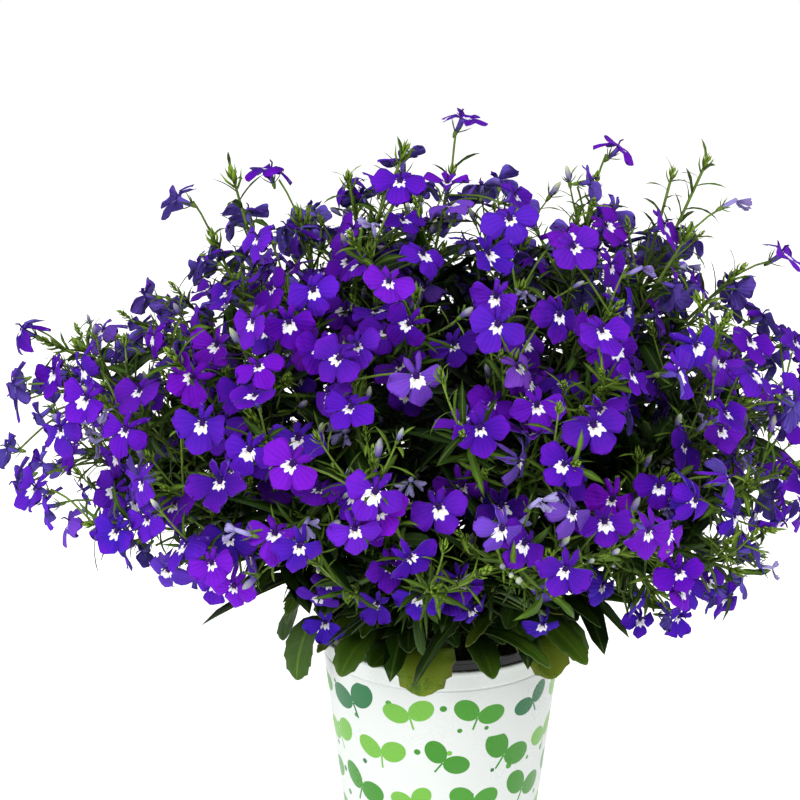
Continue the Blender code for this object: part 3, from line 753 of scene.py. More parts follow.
def petalMaterial():
    look = petalLook
    material, tree, shader = newMaterial("petalViolet")
    tint, fade, blue, backSide, eyeSize = attributes(tree, "tint", "fade", "blue", "backSide", "eyeSize")
    alongLobe, acrossLobe, x, y = attributes(tree, "alongLobe", "acrossLobe", "faceX", "faceY")
    kind = attributes(tree, "lobeKind")[0]  # 0 upper lobe, 1 lower lobe, 2 tube, 3 bud
    spots = grain(tree, 1400.0, 160.0, 0.6)
    base = colourRamp(tint, [(0.0, look["deep"]), (0.5, look["middle"]), (1.0, look["bright"])])
    # painted light: the lobes grow lighter towards their tips, as light shows through the thin petal
    base = mixed(alongLobe ** 2.2 * 0.50, base, look["tip"])
    base = mixed(blue * 0.85, base, look["blue"])
    # darker veins that fan out from the throat
    wave = (acrossLobe * look["veinFan"]).reckon("SINE")
    base = mixed(between(wave, 0.30, 1.0) * (1.0 - alongLobe) * 0.55, base, look["deep"])
    # painted reflection: lighter blotches over the grain stand for the petals' satin sheen
    base = mixed(between(spots["Mask"], 0.52, 0.72), base, mixed(0.35, base, look["bright"]))
    # the backs are paler in their own colour, and lifted further by painted light where they lie in shade
    base = mixed(backSide * 0.72, base, look["back"])
    base = mixed(fade, base, look["faded"])
    # the white eye: a fan under the throat with a ragged edge, and its two yellow marks
    face = kind.reckon("COMPARE", 1.0, 0.3) * (1.0 - backSide)
    y = y - look["eyeCentre"]
    far = (x * x + y * y).reckon("SQRT")
    turn = abs(x.reckon("ARCTAN2", y * -1.0))
    reach = eyeSize * look["eyeReach"] * (1.0 - between(turn, 0.45, 1.6) * look["eyeNarrow"])
    tooth = (turn * look["eyeRays"]).reckon("COSINE") * look["eyeTooth"]
    ragged = (spots["Mask"] - 0.5) * look["eyeRagged"]
    eye = 1.0 - between(far - reach - (tooth + ragged), -0.25, 0.25)
    base = mixed(eye * face * 0.97, base, look["eye"])
    mark = between(far, 1.0, 1.3) * (far < 2.1) * turn.reckon("COMPARE", 0.42, 0.16)
    base = mixed(mark * face * 0.80, base, look["mark"])
    # the tube is pale behind, and painted dark where it opens, as the shade inside the throat
    throatShadeMask = between(alongLobe, 0.82, 0.96) * kind.reckon("COMPARE", 2.0, 0.3)
    base = mixed(throatShadeMask, base, look["throat"])
    # buds: greenish grey tip, violet flanks
    budTone = mixed(between(alongLobe, 0.35, 0.9), look["bud"], look["budTip"])
    base = mixed(kind > 2.5, base, mixed(tint * 0.6, budTone, look["middle"]))
    # painted shade: petals deeper inside the mound are darkened
    base = withPaintedShade(base, look["paintedInnerShade"])
    # soft folds a few millimetres apart, with the veins and a fine grain over them
    place = addField(tree, "ShaderNodeTexCoord", output="Object")
    folds = addField(tree, "ShaderNodeTexNoise", {"Vector": place, "Scale": look["foldScale"], "Detail": 1.0})
    relief = wave * 0.05 + spots["Height"] * 0.06 + folds
    coat(tree, shader, base, spots, (0.55, 0.72), relief, 0.8, 0.0016)
    shader.inputs["Specular IOR Level"].default_value = look["specular"]
    shader.inputs["Sheen Weight"].default_value = look["sheen"]
    shader.inputs["Sheen Roughness"].default_value = 0.35
    shader.inputs["Sheen Tint"].default_value = (0.55, 0.45, 1.0, 1)
    return material


# Stems and leaves
greenLook = {
    "dark": (0.005, 0.019, 0.001),
    "middle": (0.017, 0.050, 0.004),
    "bright": (0.055, 0.120, 0.008),
    "young": (0.210, 0.330, 0.030),
    "stem": (0.070, 0.125, 0.018),
    "blush": (0.050, 0.022, 0.036),
    "under": (0.065, 0.110, 0.040),
    "yellow": (0.140, 0.185, 0.010),
    "rust": (0.170, 0.085, 0.020),
    "paintedInnerShade": 0.13,
    "specular": 0.12,
    "sideVeins": 52.0,
    "veinSlant": 7.0,
}


def greenMaterial():
    look = greenLook
    material, tree, shader = newMaterial("leafGreen")
    tint, age, backSide, yellow = attributes(tree, "tint", "age", "backSide", "yellow")
    acrossLeaf, alongLeaf, veined = attributes(tree, "acrossLeaf", "alongLeaf", "veined")
    blade = attributes(tree, "blade")[0]  # 0 on stems, 1 on leaves
    spots = grain(tree, 1100.0, 90.0, 0.6)
    side = abs(acrossLeaf)
    leaf = colourRamp(tint, [(0.0, look["dark"]), (0.55, look["middle"]), (1.0, look["bright"])])
    leaf = mixed(age ** 2.4 * 0.75, leaf, look["young"])
    leaf = mixed((1.0 - between(side, 0.0, 0.16)) * 0.26, leaf, look["young"])  # midrib
    leaf = mixed(between(side, 0.82, 1.0) * 0.25, leaf, look["under"])
    leaf = mixed(backSide * 0.55, leaf, look["under"])
    stalk = mixed(between(spots["Mask"], 0.45, 0.75), look["stem"], look["blush"])
    stalk = mixed(age * 0.45, stalk, look["young"])
    base = mixed(blade, stalk, leaf)
    # side veins that run forward from the midrib, on the broad leaves
    slant = alongLeaf * look["sideVeins"] - side * look["veinSlant"]
    base = mixed(between(slant.reckon("SINE"), 0.80, 1.0) * veined * 0.22, base, look["under"])
    base = mixed(between(spots["Mask"], 0.50, 0.72), base, mixed(0.35, base, look["dark"]))
    # old leaves yellow in patches, with a rusty edge
    ageing = yellow * between(spots["Mask"], 0.36, 0.56)
    base = mixed(ageing, base, look["yellow"])
    base = mixed(between(side, 0.80, 1.0) * (ageing * 0.5), base, look["rust"])
    # painted shade: leaves and stems deeper inside the mound are darkened
    base = withPaintedShade(base, look["paintedInnerShade"])
    coat(tree, shader, base, spots, (0.40, 0.60), spots["Height"], 0.3, 0.00015)
    shader.inputs["Specular IOR Level"].default_value = look["specular"]
    return material


# Plastics and soil
potPrintLook = {
    "white": (0.530, 0.555, 0.540),
    "scuffed": (0.30, 0.31, 0.30),
    "greens": [(0.026, 0.185, 0.004), (0.036, 0.215, 0.007), (0.115, 0.330, 0.030), (0.002, 0.110, 0.030)],
    "top": 0.0860,
    "foot": 0.006,
    "potRadius": 0.049,
    # seedlings: two leaves on a stalk, one in each cell of a grid round the pot
    "columns": 11,
    "rowHeight": 0.0215,
    "leafLength": 0.0145,
    "leafWidth": 0.0112,
    "leafPlace": (0.0068, 0.0026),
    "leafLean": 0.50,
    "stalkHalfWidth": 0.00055,
    "stalkFoot": -0.0078,
    "sproutTilt": 1.3,
    "smallest": 0.72,
    # dots between them, in a finer grid
    "dotColumns": 26,
    "dotRowHeight": 0.0110,
    "dotShift": 0.07,
    "dotRadius": 0.0008,
    "dotsLeftOut": 0.45,
}


def whitePlasticMaterial():
    # White glossy plastic, printed with scattered seedlings and dots in greens
    look = potPrintLook
    material, tree, shader = newMaterial("whitePlastic")
    place = addField(tree, "ShaderNodeTexCoord", output="Object")
    place = fieldsOf(tree, addNode(tree, "ShaderNodeSeparateXYZ", {0: place}))
    turn = place["X"].reckon("ARCTAN2", place["Y"] * -1.0)
    height = place["Z"]
    printed = (height > look["foot"]) * (height < look["top"])

    def layer(under, columns, rowHeight, shift, drawShape):
        # one motif in each cell of a grid that closes round the pot
        around = (turn / math.tau + (0.5 + shift)) * columns
        row = height / rowHeight + shift * 3
        rowIndex = row.reckon("FLOOR")
        around = around + rowIndex.reckon("MODULO", 2.0) * 0.5
        column = around.reckon("FLOOR").reckon("MODULO", float(columns))
        cell = addField(tree, "ShaderNodeCombineXYZ", {0: column, 1: rowIndex, 2: shift * 10})
        dice = addNode(tree, "ShaderNodeTexWhiteNoise", {"Vector": cell}, noise_dimensions="3D")
        dice = fieldsOf(tree, dice)
        rolls = list(fieldsOf(tree, addNode(tree, "ShaderNodeSeparateColor", {0: dice["Color"]})).values())
        x = (around.reckon("FRACT") - 0.5) * (math.tau * look["potRadius"] / columns)
        y = (row.reckon("FRACT") - 0.5) * rowHeight
        tones = [(k / len(look["greens"]), tone) for k, tone in enumerate(look["greens"])]
        ink = colourRamp(dice["Value"], tones, "CONSTANT")
        return mixed(drawShape(x, y, rolls) * printed, under, ink)

    def seedling(x, y, rolls):
        # two round leaves on a short stalk, tilted at random
        tilt = (rolls[0] - 0.5) * look["sproutTilt"]
        c, s = tilt.reckon("COSINE"), tilt.reckon("SINE")
        grow = rolls[1] * (1 - look["smallest"]) + look["smallest"]
        side = abs((x * c + y * s) / grow)
        rise = (y * c - x * s) / grow
        # each leaf is an oval that leans out from the stalk
        c, s = math.cos(look["leafLean"]), math.sin(look["leafLean"])
        p, q = side - look["leafPlace"][0], rise - look["leafPlace"][1]
        u = (p * c + q * s) / (look["leafLength"] / 2)
        w = (q * c - p * s) / (look["leafWidth"] / 2)
        stalk = (side < look["stalkHalfWidth"]) * (rise < -0.0005) * (rise > look["stalkFoot"])
        return (u * u + w * w < 1.0).reckon("MAXIMUM", stalk)

    def dot(x, y, rolls):
        x = x - (rolls[0] - 0.5) * 0.005
        far = (x * x + y * y).reckon("SQRT")
        return (far < rolls[2] * 0.0009 + look["dotRadius"]) * (rolls[1] > look["dotsLeftOut"])

    colour = layer(look["white"], look["dotColumns"], look["dotRowHeight"], look["dotShift"], dot)
    colour = layer(colour, look["columns"], look["rowHeight"], 0.0, seedling)
    scuff = grain(tree, 700.0, 35.0, 0.7)
    colour = mixed(between(scuff["Mask"], 0.40, 0.85), colour, mixed(0.05, colour, look["scuffed"]))
    coat(tree, shader, colour, scuff, (0.24, 0.36), scuff["Height"], 0.05, 0.0001)
    shader.inputs["Specular IOR Level"].default_value = 0.32
    return material


def blackPlasticMaterial():
    material, tree, shader = newMaterial("blackPlastic")
    scuff = grain(tree, 800.0, 50.0, 0.5)
    colour = mixed(between(scuff["Mask"], 0.52, 0.80), (0.003, 0.003, 0.004), (0.008, 0.008, 0.009))
    coat(tree, shader, colour, scuff, (0.20, 0.38), scuff["Height"], 0.25, 0.0002)
    shader.inputs["Specular IOR Level"].default_value = 0.25
    return material


def soilMaterial():
    material, tree, shader = newMaterial("soil")
    crumb = grain(tree, 420.0, 120.0, 0.5)
    tones = [(0.30, (0.010, 0.007, 0.005)), (0.50, (0.034, 0.022, 0.014)), (0.72, (0.090, 0.060, 0.038))]
    coat(tree, shader, colourRamp(crumb["Mask"], tones), crumb, (0.8, 1.0), crumb["Height"], 0.8, 0.0010)
    return material


petalViolet = petalMaterial()
leafGreen = greenMaterial()
whitePlastic = whitePlasticMaterial()
blackPlastic = blackPlasticMaterial()
soilDark = soilMaterial()
print("materials made")


# Small shapes: each is built once, and the geometry trees set it on its places
class Shape:
    # A mesh in the making, whose points carry named numbers for the materials
    def __init__(self, *names):
        self.bm = bmesh.new()
        self.layers = {name: self.bm.verts.layers.float.new(name) for name in names}

    def point(self, spot, **numbers):
        made = self.bm.verts.new(spot)
        for name, value in numbers.items():
            made[self.layers[name]] = value
        return made

    def bridge(self, rows, closed=False):
        # Faces between each row of points and the next
        for a, b in zip(rows, rows[1:]):
            for k in range(len(a) if closed else len(a) - 1):
                n = (k + 1) % len(a)
                self.bm.faces.new((a[k], b[k], b[n], a[n]))

    def spindle(self, rings, tip):
        # A closed form through rings of points that ends in a tip
        self.bridge(rings, closed=True)
        self.bm.faces.new(rings[0])
        last = rings[-1]
        for k, point in enumerate(last):
            self.bm.faces.new((point, last[(k + 1) % len(last)], tip))

    def tube(self, rings, sides, start=0.0, share=None, **numbers):
        # Rings of (share along the tube, middle, radius), joined and closed at both ends
        made = []
        for v, middle, radius in rings:
            if share:
                numbers[share] = v
            outs = [spoke(start + math.tau * corner / sides)[0] for corner in range(sides)]
            made.append([self.point(Vector(middle) + radius * out, **numbers) for out in outs])
        self.bridge(made, closed=True)
        self.bm.faces.new(made[0])
        self.bm.faces.new(tuple(reversed(made[-1])))

    def thicken(self, thickness):
        # A sheet gets a back and a rim, and remembers which side is which
        bm = self.bm
        bm.normal_update()
        front = list(bm.verts)
        faces = list(bm.faces)
        rims = [edge for edge in bm.edges if len(edge.link_faces) == 1]
        behind = {}
        for vert in front:
            copy = bm.verts.new(vert.co - thickness * vert.normal)
            for layer in self.layers.values():
                copy[layer] = vert[layer]
            copy[self.layers["backSide"]] = 1.0
            behind[vert] = copy
        for edge in rims:
            loop = edge.link_loops[0]
            a, b = loop.vert, loop.link_loop_next.vert
            bm.faces.new((b, a, behind[a], behind[b]))
        for face in faces:
            bm.faces.new([behind[vert] for vert in reversed(face.verts)])

    def turnOut(self):
        bmesh.ops.recalc_face_normals(self.bm, faces=self.bm.faces)

    def done(self, name):
        mesh = bpy.data.meshes.new(name)
        self.bm.to_mesh(mesh)
        self.bm.free()
        return meshObject(name, mesh)


def meshObject(name, mesh):
    made = bpy.data.objects.new(name, mesh)
    bpy.context.scene.collection.objects.link(made)
    return made


def spoke(angle):
    # Outwards at an angle from +Y, and square to that
    return Vector((math.sin(angle), math.cos(angle), 0)), Vector((math.cos(angle), -math.sin(angle), 0))


def shapeCollection(name, shapes):
    # The trees pick a shape by its place in the list
    made = bpy.data.collections.new(name)
    for item in shapes:
        bpy.context.scene.collection.objects.unlink(item)
        made.objects.link(item)
    return made


bloomShapeLook = {
    "thickness": 0.00022,
    "throatRadius": 0.0011,
    # one row for each lobe: turn from upright, length, half width, lower lip?
    "lobes": [
        (-23, 0.0074, 0.00135, False),
        (23, 0.0074, 0.00135, False),
        (-101, 0.0108, 0.0048, True),
        (180, 0.0110, 0.0044, True),
        (101, 0.0108, 0.0048, True),
    ],
    # how far out each row of a lobe lies, and its share of the half width
    "lipRows": [(0, 0.24), (0.28, 0.56), (0.54, 0.88), (0.77, 1.0), (0.92, 0.87), (1.0, 0.57)],
    "tipBulge": 0.17,
    "earRows": [(0, 0.55), (0.45, 0.85), (0.85, 1.00), (1.0, 0.40)],
    "witheredRows": [(0, 0.3), (0.4, 0.8), (0.8, 0.7), (1, 0.2)],
    "witheredLobes": 3,
    # one row for each open flower: how far its lobes bend back, their hollow, their waves, their breadth
    "flowers": [
        (0.0010, 0.0003, 0.0005, 1.00),
        (0.0024, -0.0004, 0.0008, 1.04),
        (0.0016, 0.0007, 0.0009, 0.96),
        (0.0036, -0.0008, 0.0010, 0.98),
        (-0.0010, 0.0014, 0.0007, 0.86),
        (0.0030, 0.0014, 0.0012, 0.90),
        (0.0004, -0.0005, 0.0010, 1.06),
        (0.0052, 0.0004, 0.0013, 0.80),
    ],
    "bud": 8,
    "withered": 9,
    "budLength": 0.0075,
    "budRadius": 0.0013,
}
flowerNumbers = ("alongLobe", "acrossLobe", "lobeKind", "backSide", "faceX", "faceY")
greenNumbers = ("acrossLeaf", "blade", "age")


def addLobe(shape, turn, length, halfWidth, lower, bent, draw):
    # One lobe: rows from the throat out, each row across the lobe, with a round tip
    look = bloomShapeLook
    recurve, cup, ruffle = bent
    steps = 5 if lower else 2
    out, side = spoke(math.radians(turn + draw.uniform(-5, 5)))
    start = 0.7 * look["throatRadius"]
    phase = draw.uniform(0, math.tau)
    # no two lobes bend alike
    recurve = recurve * draw.uniform(0.4, 1.6) + draw.uniform(0, 0.0008)
    cup = cup + draw.uniform(-0.0007, 0.0009)
    rows = []
    for v, share in look["lipRows"] if lower else look["earRows"]:
        row = []
        for c in range(steps + 1):
            u = 2 * c / steps - 1
            bulge = look["tipBulge"] * v * v
            reach = start + (length - start) * ((1 - look["tipBulge"]) * v + bulge * (1 - u * u))
            if lower:
                lift = 0.0016 * v - recurve * v * v
            else:
                lift = -0.0004 * v - (1.8 * recurve + 0.0008) * v * v
            lift += cup * u * u * v + ruffle * math.sin(2.6 * u + phase) * v - 0.0011 * (1 - v) ** 2
            spot = reach * out + u * halfWidth * share * side + lift * up
            numbers = {"alongLobe": v, "acrossLobe": u, "faceX": 1000 * spot.x, "faceY": 1000 * spot.y}
            row.append(shape.point(spot, lobeKind=1.0 if lower else 0.0, **numbers))
        rows.append(row)
    shape.bridge(rows)


def flowerShape(name, seed, recurve, cup, ruffle, breadth):
    # A flower that faces +Z with its upright along +Y, its tube behind it
    look = bloomShapeLook
    draw = random.Random(seed)
    shape = Shape(*flowerNumbers)
    for turn, length, halfWidth, lower in look["lobes"]:
        grow = draw.uniform(0.90, 1.06)
        wide = halfWidth * draw.uniform(0.90, 1.10) * breadth
        addLobe(shape, turn, length * grow, wide, lower, (recurve, cup, ruffle), draw)
    shape.turnOut()
    for face in shape.bm.faces:
        if face.normal.z < 0:
            face.normal_flip()
    shape.thicken(look["thickness"])
    depth = growth["tubeLength"]
    tube = [
        (0, (0, 0, -depth), 0.0007),
        (0.35, (0, -0.0003, -0.65 * depth), 0.00105),
        (0.75, (0, -0.0002, -0.25 * depth), 0.0011),
        (1, (0, 0, -0.0010), 0.0014),
    ]
    # the grey column of stamens bows over the throat between the upper lobes
    column = [
        (0.9, (0, 0.0006, -0.0012), 0.0004),
        (0.95, (0, 0.0016, 0.0010), 0.0004),
        (1, (0, 0.0010, 0.0024), 0.0003),
    ]
    for rings, sides in ((tube, 6), (column, 4)):
        shape.tube(rings, sides, share="alongLobe", lobeKind=2.0, backSide=1.0)
    return shape.done(name)


def witheredShape(name, seed):
    # A spent flower: the lobes hang together, folded along their length
    look = bloomShapeLook
    draw = random.Random(seed)
    shape = Shape(*flowerNumbers)
    for k in range(look["witheredLobes"]):
        out, side = spoke(math.radians(180 + 55 * (k - 1) + draw.uniform(-15, 15)))
        rows = []
        for v, share in look["witheredRows"]:
            spot = (0.0008 + 0.0040 * math.sin(2.2 * v)) * out + (0.0048 * v - 0.0012 * v * v) * up
            places = {u: spot + u * share * 0.0022 * side + 0.0012 * abs(u) * out for u in (-1, 0, 1)}
            rows.append([shape.point(place, alongLobe=0.5 * v, acrossLobe=u) for u, place in places.items()])
        shape.bridge(rows)
    shape.turnOut()
    shape.thicken(look["thickness"])
    depth = growth["tubeLength"]
    tube = [(0, (0, 0, -depth), 0.0007), (0.4, (0, 0, -0.5 * depth), 0.0010), (0.8, (0, 0, 0.0004), 0.0009)]
    shape.tube(tube, 5, share="alongLobe", lobeKind=2.0, backSide=1.0)
    return shape.done(name)


def budShape(name, length, radius):
    shape = Shape(*flowerNumbers)
    rings = []
    for v, share in ((0, 0.45), (0.3, 0.85), (0.65, 1.0), (0.9, 0.6)):
        middle = length * (v - 1) * up
        spots = [middle + share * radius * spoke(math.tau * (0.25 + k / 5))[0] for k in range(5)]
        rings.append([shape.point(spot, alongLobe=v, lobeKind=3.0) for spot in spots])
    shape.spindle(rings, shape.point((0, 0, 0.0004), alongLobe=1.0, lobeKind=3.0))
    shape.turnOut()
    return shape.done(name)


flowerKinds = [flowerShape(f"flower_{k}", k + 1, *row) for k, row in enumerate(bloomShapeLook["flowers"])]
flowerKinds.append(budShape("flower_8", bloomShapeLook["budLength"], bloomShapeLook["budRadius"]))
flowerKinds.append(witheredShape("flower_9", 21))
flowerCollection = shapeCollection("flowerKinds", flowerKinds)


# Calyxes, tufts and large inner leaves, on the same axes as the flower
greenShapeLook = {
    "sepalHalfWidth": 0.00042,
    "sepalThickness": 0.0004,
    "tuftHalfWidth": 0.0009,
    "tuftThickness": 0.0007,
    # height from the tube's end, radius
    "ovary": [(-0.0030, 0.0005), (-0.0012, 0.00105), (0.0004, 0.0010)],
    # seed, length of the sepals
    "calyxes": [(11, 0.0055), (12, 0.0068), (13, 0.0048)],
    # seed, number of leaves, height of the spike, length of its leaves
    "tufts": [(14, 9, 0.006, 0.0080), (15, 13, 0.011, 0.0062)],
    "coreLeafLength": 0.034,
    "coreLeafHalfWidth": 0.0042,
    "coreLeafDroop": 0.25,
}


def spike(shape, base, middle, tip, halfWidth, thickness, side, ages):
    # A narrow three-sided blade from base through middle to its tip
    face = side.cross((tip - base).normalized()).normalized()
    rings = []
    for point, share in ((base, 0.8), (middle, 1.0)):
        ring = []
        for u, w in ((-1, 0.4), (0, -0.6), (1, 0.4)):
            spot = point + share * halfWidth * u * side + thickness * w * face
            ring.append(shape.point(spot, acrossLeaf=u, blade=1.0, age=ages[0]))
        rings.append(ring)
    shape.spindle(rings, shape.point(tip, blade=1.0, age=ages[1]))


def calyxShape(name, seed, length):
    # An ovary with five thin sepals
    look = greenShapeLook
    draw = random.Random(seed)
    shape = Shape(*greenNumbers)
    depth = growth["tubeLength"]
    for k in range(5):
        out, side = spoke(math.tau * (k + 0.5) / 5 + draw.uniform(-0.15, 0.15))
        base = 0.0007 * out - Vector((0, 0, depth + 0.0002))
        lean = draw.uniform(0.45, 0.95)
        reach = length * draw.uniform(0.8, 1.15)
        tip = base + reach * (lean * out + 0.8 * up).normalized()
        middle = base.lerp(tip, 0.45) + 0.0004 * out
        spike(shape, base, middle, tip, look["sepalHalfWidth"], look["sepalThickness"], side, (0.45, 0.6))
    rings = [(0, (0, 0, z - depth), radius) for z, radius in look["ovary"]]
    shape.tube(rings, 5, start=math.pi / 2, age=0.35)
    shape.turnOut()
    return shape.done(name)


def tuftShape(name, seed, count, height, length):
    # The crowded young leaves and green buds at the end of a shoot, as a narrow spike
    look = greenShapeLook
    draw = random.Random(seed)
    shape = Shape(*greenNumbers)
    for k in range(count):
        v = k / (count - 1)
        out, side = spoke(goldenAngle * k)
        base = Vector((0, 0, -0.005 + height * v)) + 0.0005 * (1 - v) * out
        lean = 0.62 - 0.45 * v + draw.uniform(-0.12, 0.12)
        reach = length * (1.0 - 0.45 * v) * draw.uniform(0.85, 1.15)
        tip = base + reach * (lean * out + up).normalized()
        middle = base.lerp(tip, 0.42) + 0.0007 * out
        spike(shape, base, middle, tip, look["tuftHalfWidth"], look["tuftThickness"], side, (1.0, 1.0))
    for vert in shape.bm.verts:
        # the higher, the younger
        vert[shape.layers["age"]] = 0.72 + 0.28 * min(max((vert.co.z + 0.004) / 0.012, 0), 1)
    shape.turnOut()
    return shape.done(name)


def coreLeafShape(name):
    # A large plain leaf for the inside of the mound, seen only as dark green between the flowers
    look = greenShapeLook
    length, droop = look["coreLeafLength"], look["coreLeafDroop"]
    shape = Shape(*greenNumbers)
    rings = []
    for v, share in ((0, 0.15), (0.25, 0.75), (0.55, 1.0), (0.85, 0.70)):
        ring = []
        for u, w in ((-1, 0.25), (0, -0.15), (1, 0.25), (0, -0.30)):
            spot = (share * look["coreLeafHalfWidth"] * u, w * 0.0016 - droop * length * v * v, length * v)
            ring.append(shape.point(spot, acrossLeaf=u, blade=1.0))
        rings.append(ring)
    shape.spindle(rings, shape.point((0, -droop * length, length), blade=1.0))
    shape.turnOut()
    return shape.done(name)


calyxKinds = [calyxShape(f"calyx_{k}", *row) for k, row in enumerate(greenShapeLook["calyxes"])]
calyxKinds += [tuftShape(f"calyx_{k}", *row) for k, row in enumerate(greenShapeLook["tufts"], 3)]
calyxKinds.append(coreLeafShape("calyx_5"))
calyxCollection = shapeCollection("calyxKinds", calyxKinds)


# Narrow leaves: they stand along +Z, with their upper face towards +Y, and curl back towards -Y
narrowLeafLook = {
    "length": 0.020,
    "halfWidth": 0.00160,
    "thickness": 0.00035,
    # toothed edge: a share of the half width at each row
    "edge": [0.32, 0.88, 0.74, 1.00, 0.62],
    # one row for each kind: curl, twist, breadth
    "kinds": [(0.5, 0.2, 0.8), (1.0, -0.5, 1.0), (1.5, 0.6, 1.25), (0.8, 0.9, 0.6)],
}


def narrowLeafShape(name, curl, twist, breadth):
    look = narrowLeafLook
    shape = Shape("acrossLeaf", "blade", "backSide")  # no age: the stem gives it

    def midrib(v):
        half = 0.5 * curl * v
        return look["length"] * Vector((0, -v * math.sin(half), v * math.cos(half)))

    rings = []
    for k, share in enumerate(look["edge"]):
        v = k / len(look["edge"])
        face = Vector((0, math.cos(curl * v), math.sin(curl * v)))
        side = Matrix.Rotation(twist * v, 3, "Z") @ Vector((1, 0, 0))
        half = look["halfWidth"] * breadth * share
        ring = []
        for u, w, behind in ((-1, 0.9, 0.0), (0, 0.1, 0.0), (1, 0.9, 0.0), (0, -0.9, 1.0)):
            spot = midrib(v) + u * half * side + 0.5 * look["thickness"] * w * face
            ring.append(shape.point(spot, acrossLeaf=u, blade=1.0, backSide=behind))
        rings.append(ring)
    shape.spindle(rings, shape.point(midrib(1), blade=1.0))
    shape.turnOut()
    return shape.done(name)


leafKinds = [narrowLeafShape(f"leaf_{k}", *row) for k, row in enumerate(narrowLeafLook["kinds"])]
leafCollection = shapeCollection("leafKinds", leafKinds)
print("flowers, calyxes and leaves shaped")


# Geometry trees
def newTree(name, inputs):
    # A tree with its named inputs as fields, and the socket that takes its result
    tree = bpy.data.node_groups.new(name, "GeometryNodeTree")
    tree.interface.new_socket("Geometry", in_out="INPUT", socket_type="NodeSocketGeometry")
    for label, (kind, value) in inputs.items():
        socket = tree.interface.new_socket(label, in_out="INPUT", socket_type="NodeSocket" + kind)
        if value is not None:
            socket.default_value = value
    tree.interface.new_socket("Geometry", in_out="OUTPUT", socket_type="NodeSocketGeometry")
    return tree, fieldsOf(tree, addNode(tree, "NodeGroupInput"))


def endTree(tree, geometry, material, smooth=True):
    # Plain shaded mesh with its material, as the tree's result
    whole = addField(tree, "GeometryNodeRealizeInstances", {0: geometry})
    if smooth:
        whole = addField(tree, "GeometryNodeSetShadeSmooth", {0: whole, "Shade Smooth": True})
    whole = addField(tree, "GeometryNodeSetMaterial", {0: whole, "Material": material})
    addNode(tree, "NodeGroupOutput", {0: whole})


def both(tree, first, second):
    made = addNode(tree, "GeometryNodeJoinGeometry", {0: first})
    tree.links.new(second.socket, made.inputs[0])
    return Field(tree, made.outputs[0])


def runTree(host, tree, values):
    # Runs a geometry tree on an object and keeps the result as its plain mesh
    modifier = host.modifiers.new("grow", "NODES")
    modifier.node_group = tree
    for item in tree.interface.items_tree:
        if item.item_type == "SOCKET" and item.in_out == "INPUT" and item.name in values:
            modifier[item.identifier] = values[item.name]
    return keepResult(host)


def keepResult(host):
    # The object with its modifiers' result as its own mesh
    graph = bpy.context.evaluated_depsgraph_get()
    grown = bpy.data.meshes.new_from_object(host.evaluated_get(graph), depsgraph=graph)
    host.modifiers.clear()
    host.data = grown
    return host


def rolled(tree, low, high, seed):
    # A random number for each point or instance
    return addField(tree, "FunctionNodeRandomValue", {2: low, 3: high, 8: seed}, 1)


def named(tree, name, kind="FLOAT"):
    return addField(tree, "GeometryNodeInputNamedAttribute", {"Name": name}, data_type=kind)


def turnedBy(tree, rotation, axis, angle):
    more = addField(tree, "FunctionNodeAxisAngleToRotation", {"Axis": axis, "Angle": angle})
    return addField(tree, "FunctionNodeRotateRotation", {0: rotation, 1: more}, rotation_space="LOCAL")


def pickFrom(tree, collection, sockets):
    # One of a collection's shapes on each point
    choice = {0: collection, "Separate Children": True, "Reset Children": True}
    sockets.update({"Instance": addField(tree, "GeometryNodeCollectionInfo", choice), "Pick Instance": True})
    return addField(tree, "GeometryNodeInstanceOnPoints", sockets)


def leafyStemTree():
    # Round stems along the paths, with narrow leaves in a spiral on them
    inputs = {
        "Step": ("Float", 0.005),
        "Sides": ("Int", 6),
        "Leaf Spacing": ("Float", 0.006),
        "Leaf Scale Min": ("Float", 0.7),
        "Leaf Scale Max": ("Float", 1.30),
        "Seed": ("Int", 1),
        "Leaves": ("Collection", None),
        "Material": ("Material", None),
    }
    tree, given = newTree("leafyStem", inputs)
    seed = given["Seed"]
    paths = addField(tree, "GeometryNodeMeshToCurve", {0: given["Geometry"]})
    paths = addField(tree, "GeometryNodeCurveSplineType", {0: paths}, spline_type="CATMULL_ROM")
    smooth = addField(tree, "GeometryNodeResampleCurve", {0: paths, "Length": given["Step"]}, mode="LENGTH")
    sockets = {"Resolution": given["Sides"], "Radius": 1.0}
    ring = addField(tree, "GeometryNodeCurvePrimitiveCircle", sockets, mode="RADIUS")
    sockets = {0: smooth, 1: ring, "Scale": named(tree, "thickness"), "Fill Caps": True}
    tubes = addField(tree, "GeometryNodeCurveToMesh", sockets)
    sockets = {0: paths, "Length": given["Leaf Spacing"]}
    points = addNode(tree, "GeometryNodeCurveToPoints", sockets, mode="LENGTH").outputs
    sockets = {"Vector": points["Tangent"]}
    turned = addField(tree, "FunctionNodeAlignRotationToVector", sockets, axis="Z")
    spin = addField(tree, "GeometryNodeInputIndex") * goldenAngle + rolled(tree, -0.5, 0.5, seed)
    turned = turnedBy(tree, turned, (0, 0, 1), spin)
    turned = turnedBy(tree, turned, (1, 0, 0), rolled(tree, 0.45, 1.15, seed + 7.0))
    size = rolled(tree, given["Leaf Scale Min"], given["Leaf Scale Max"], seed + 3.0)
    size = size * named(tree, "leafSize")
    kinds = {4: 0, 5: len(leafKinds) - 1, 8: seed + 11.0}
    sockets = {
        "Points": points[0],
        "Selection": addField(tree, "FunctionNodeCompare", {0: size, 1: 0.05}, operation="GREATER_THAN"),
        "Instance Index": addField(tree, "FunctionNodeRandomValue", kinds, 2, data_type="INT"),
        "Rotation": turned,
        "Scale": size,
    }
    leaves = pickFrom(tree, given["Leaves"], sockets)
    sockets = {"Geometry": leaves, "Name": "tint", "Value": rolled(tree, 0.0, 1.0, seed + 5.0)}
    leaves = addField(tree, "GeometryNodeStoreNamedAttribute", sockets, domain="INSTANCE")
    endTree(tree, both(tree, leaves, tubes), given["Material"])
    return tree


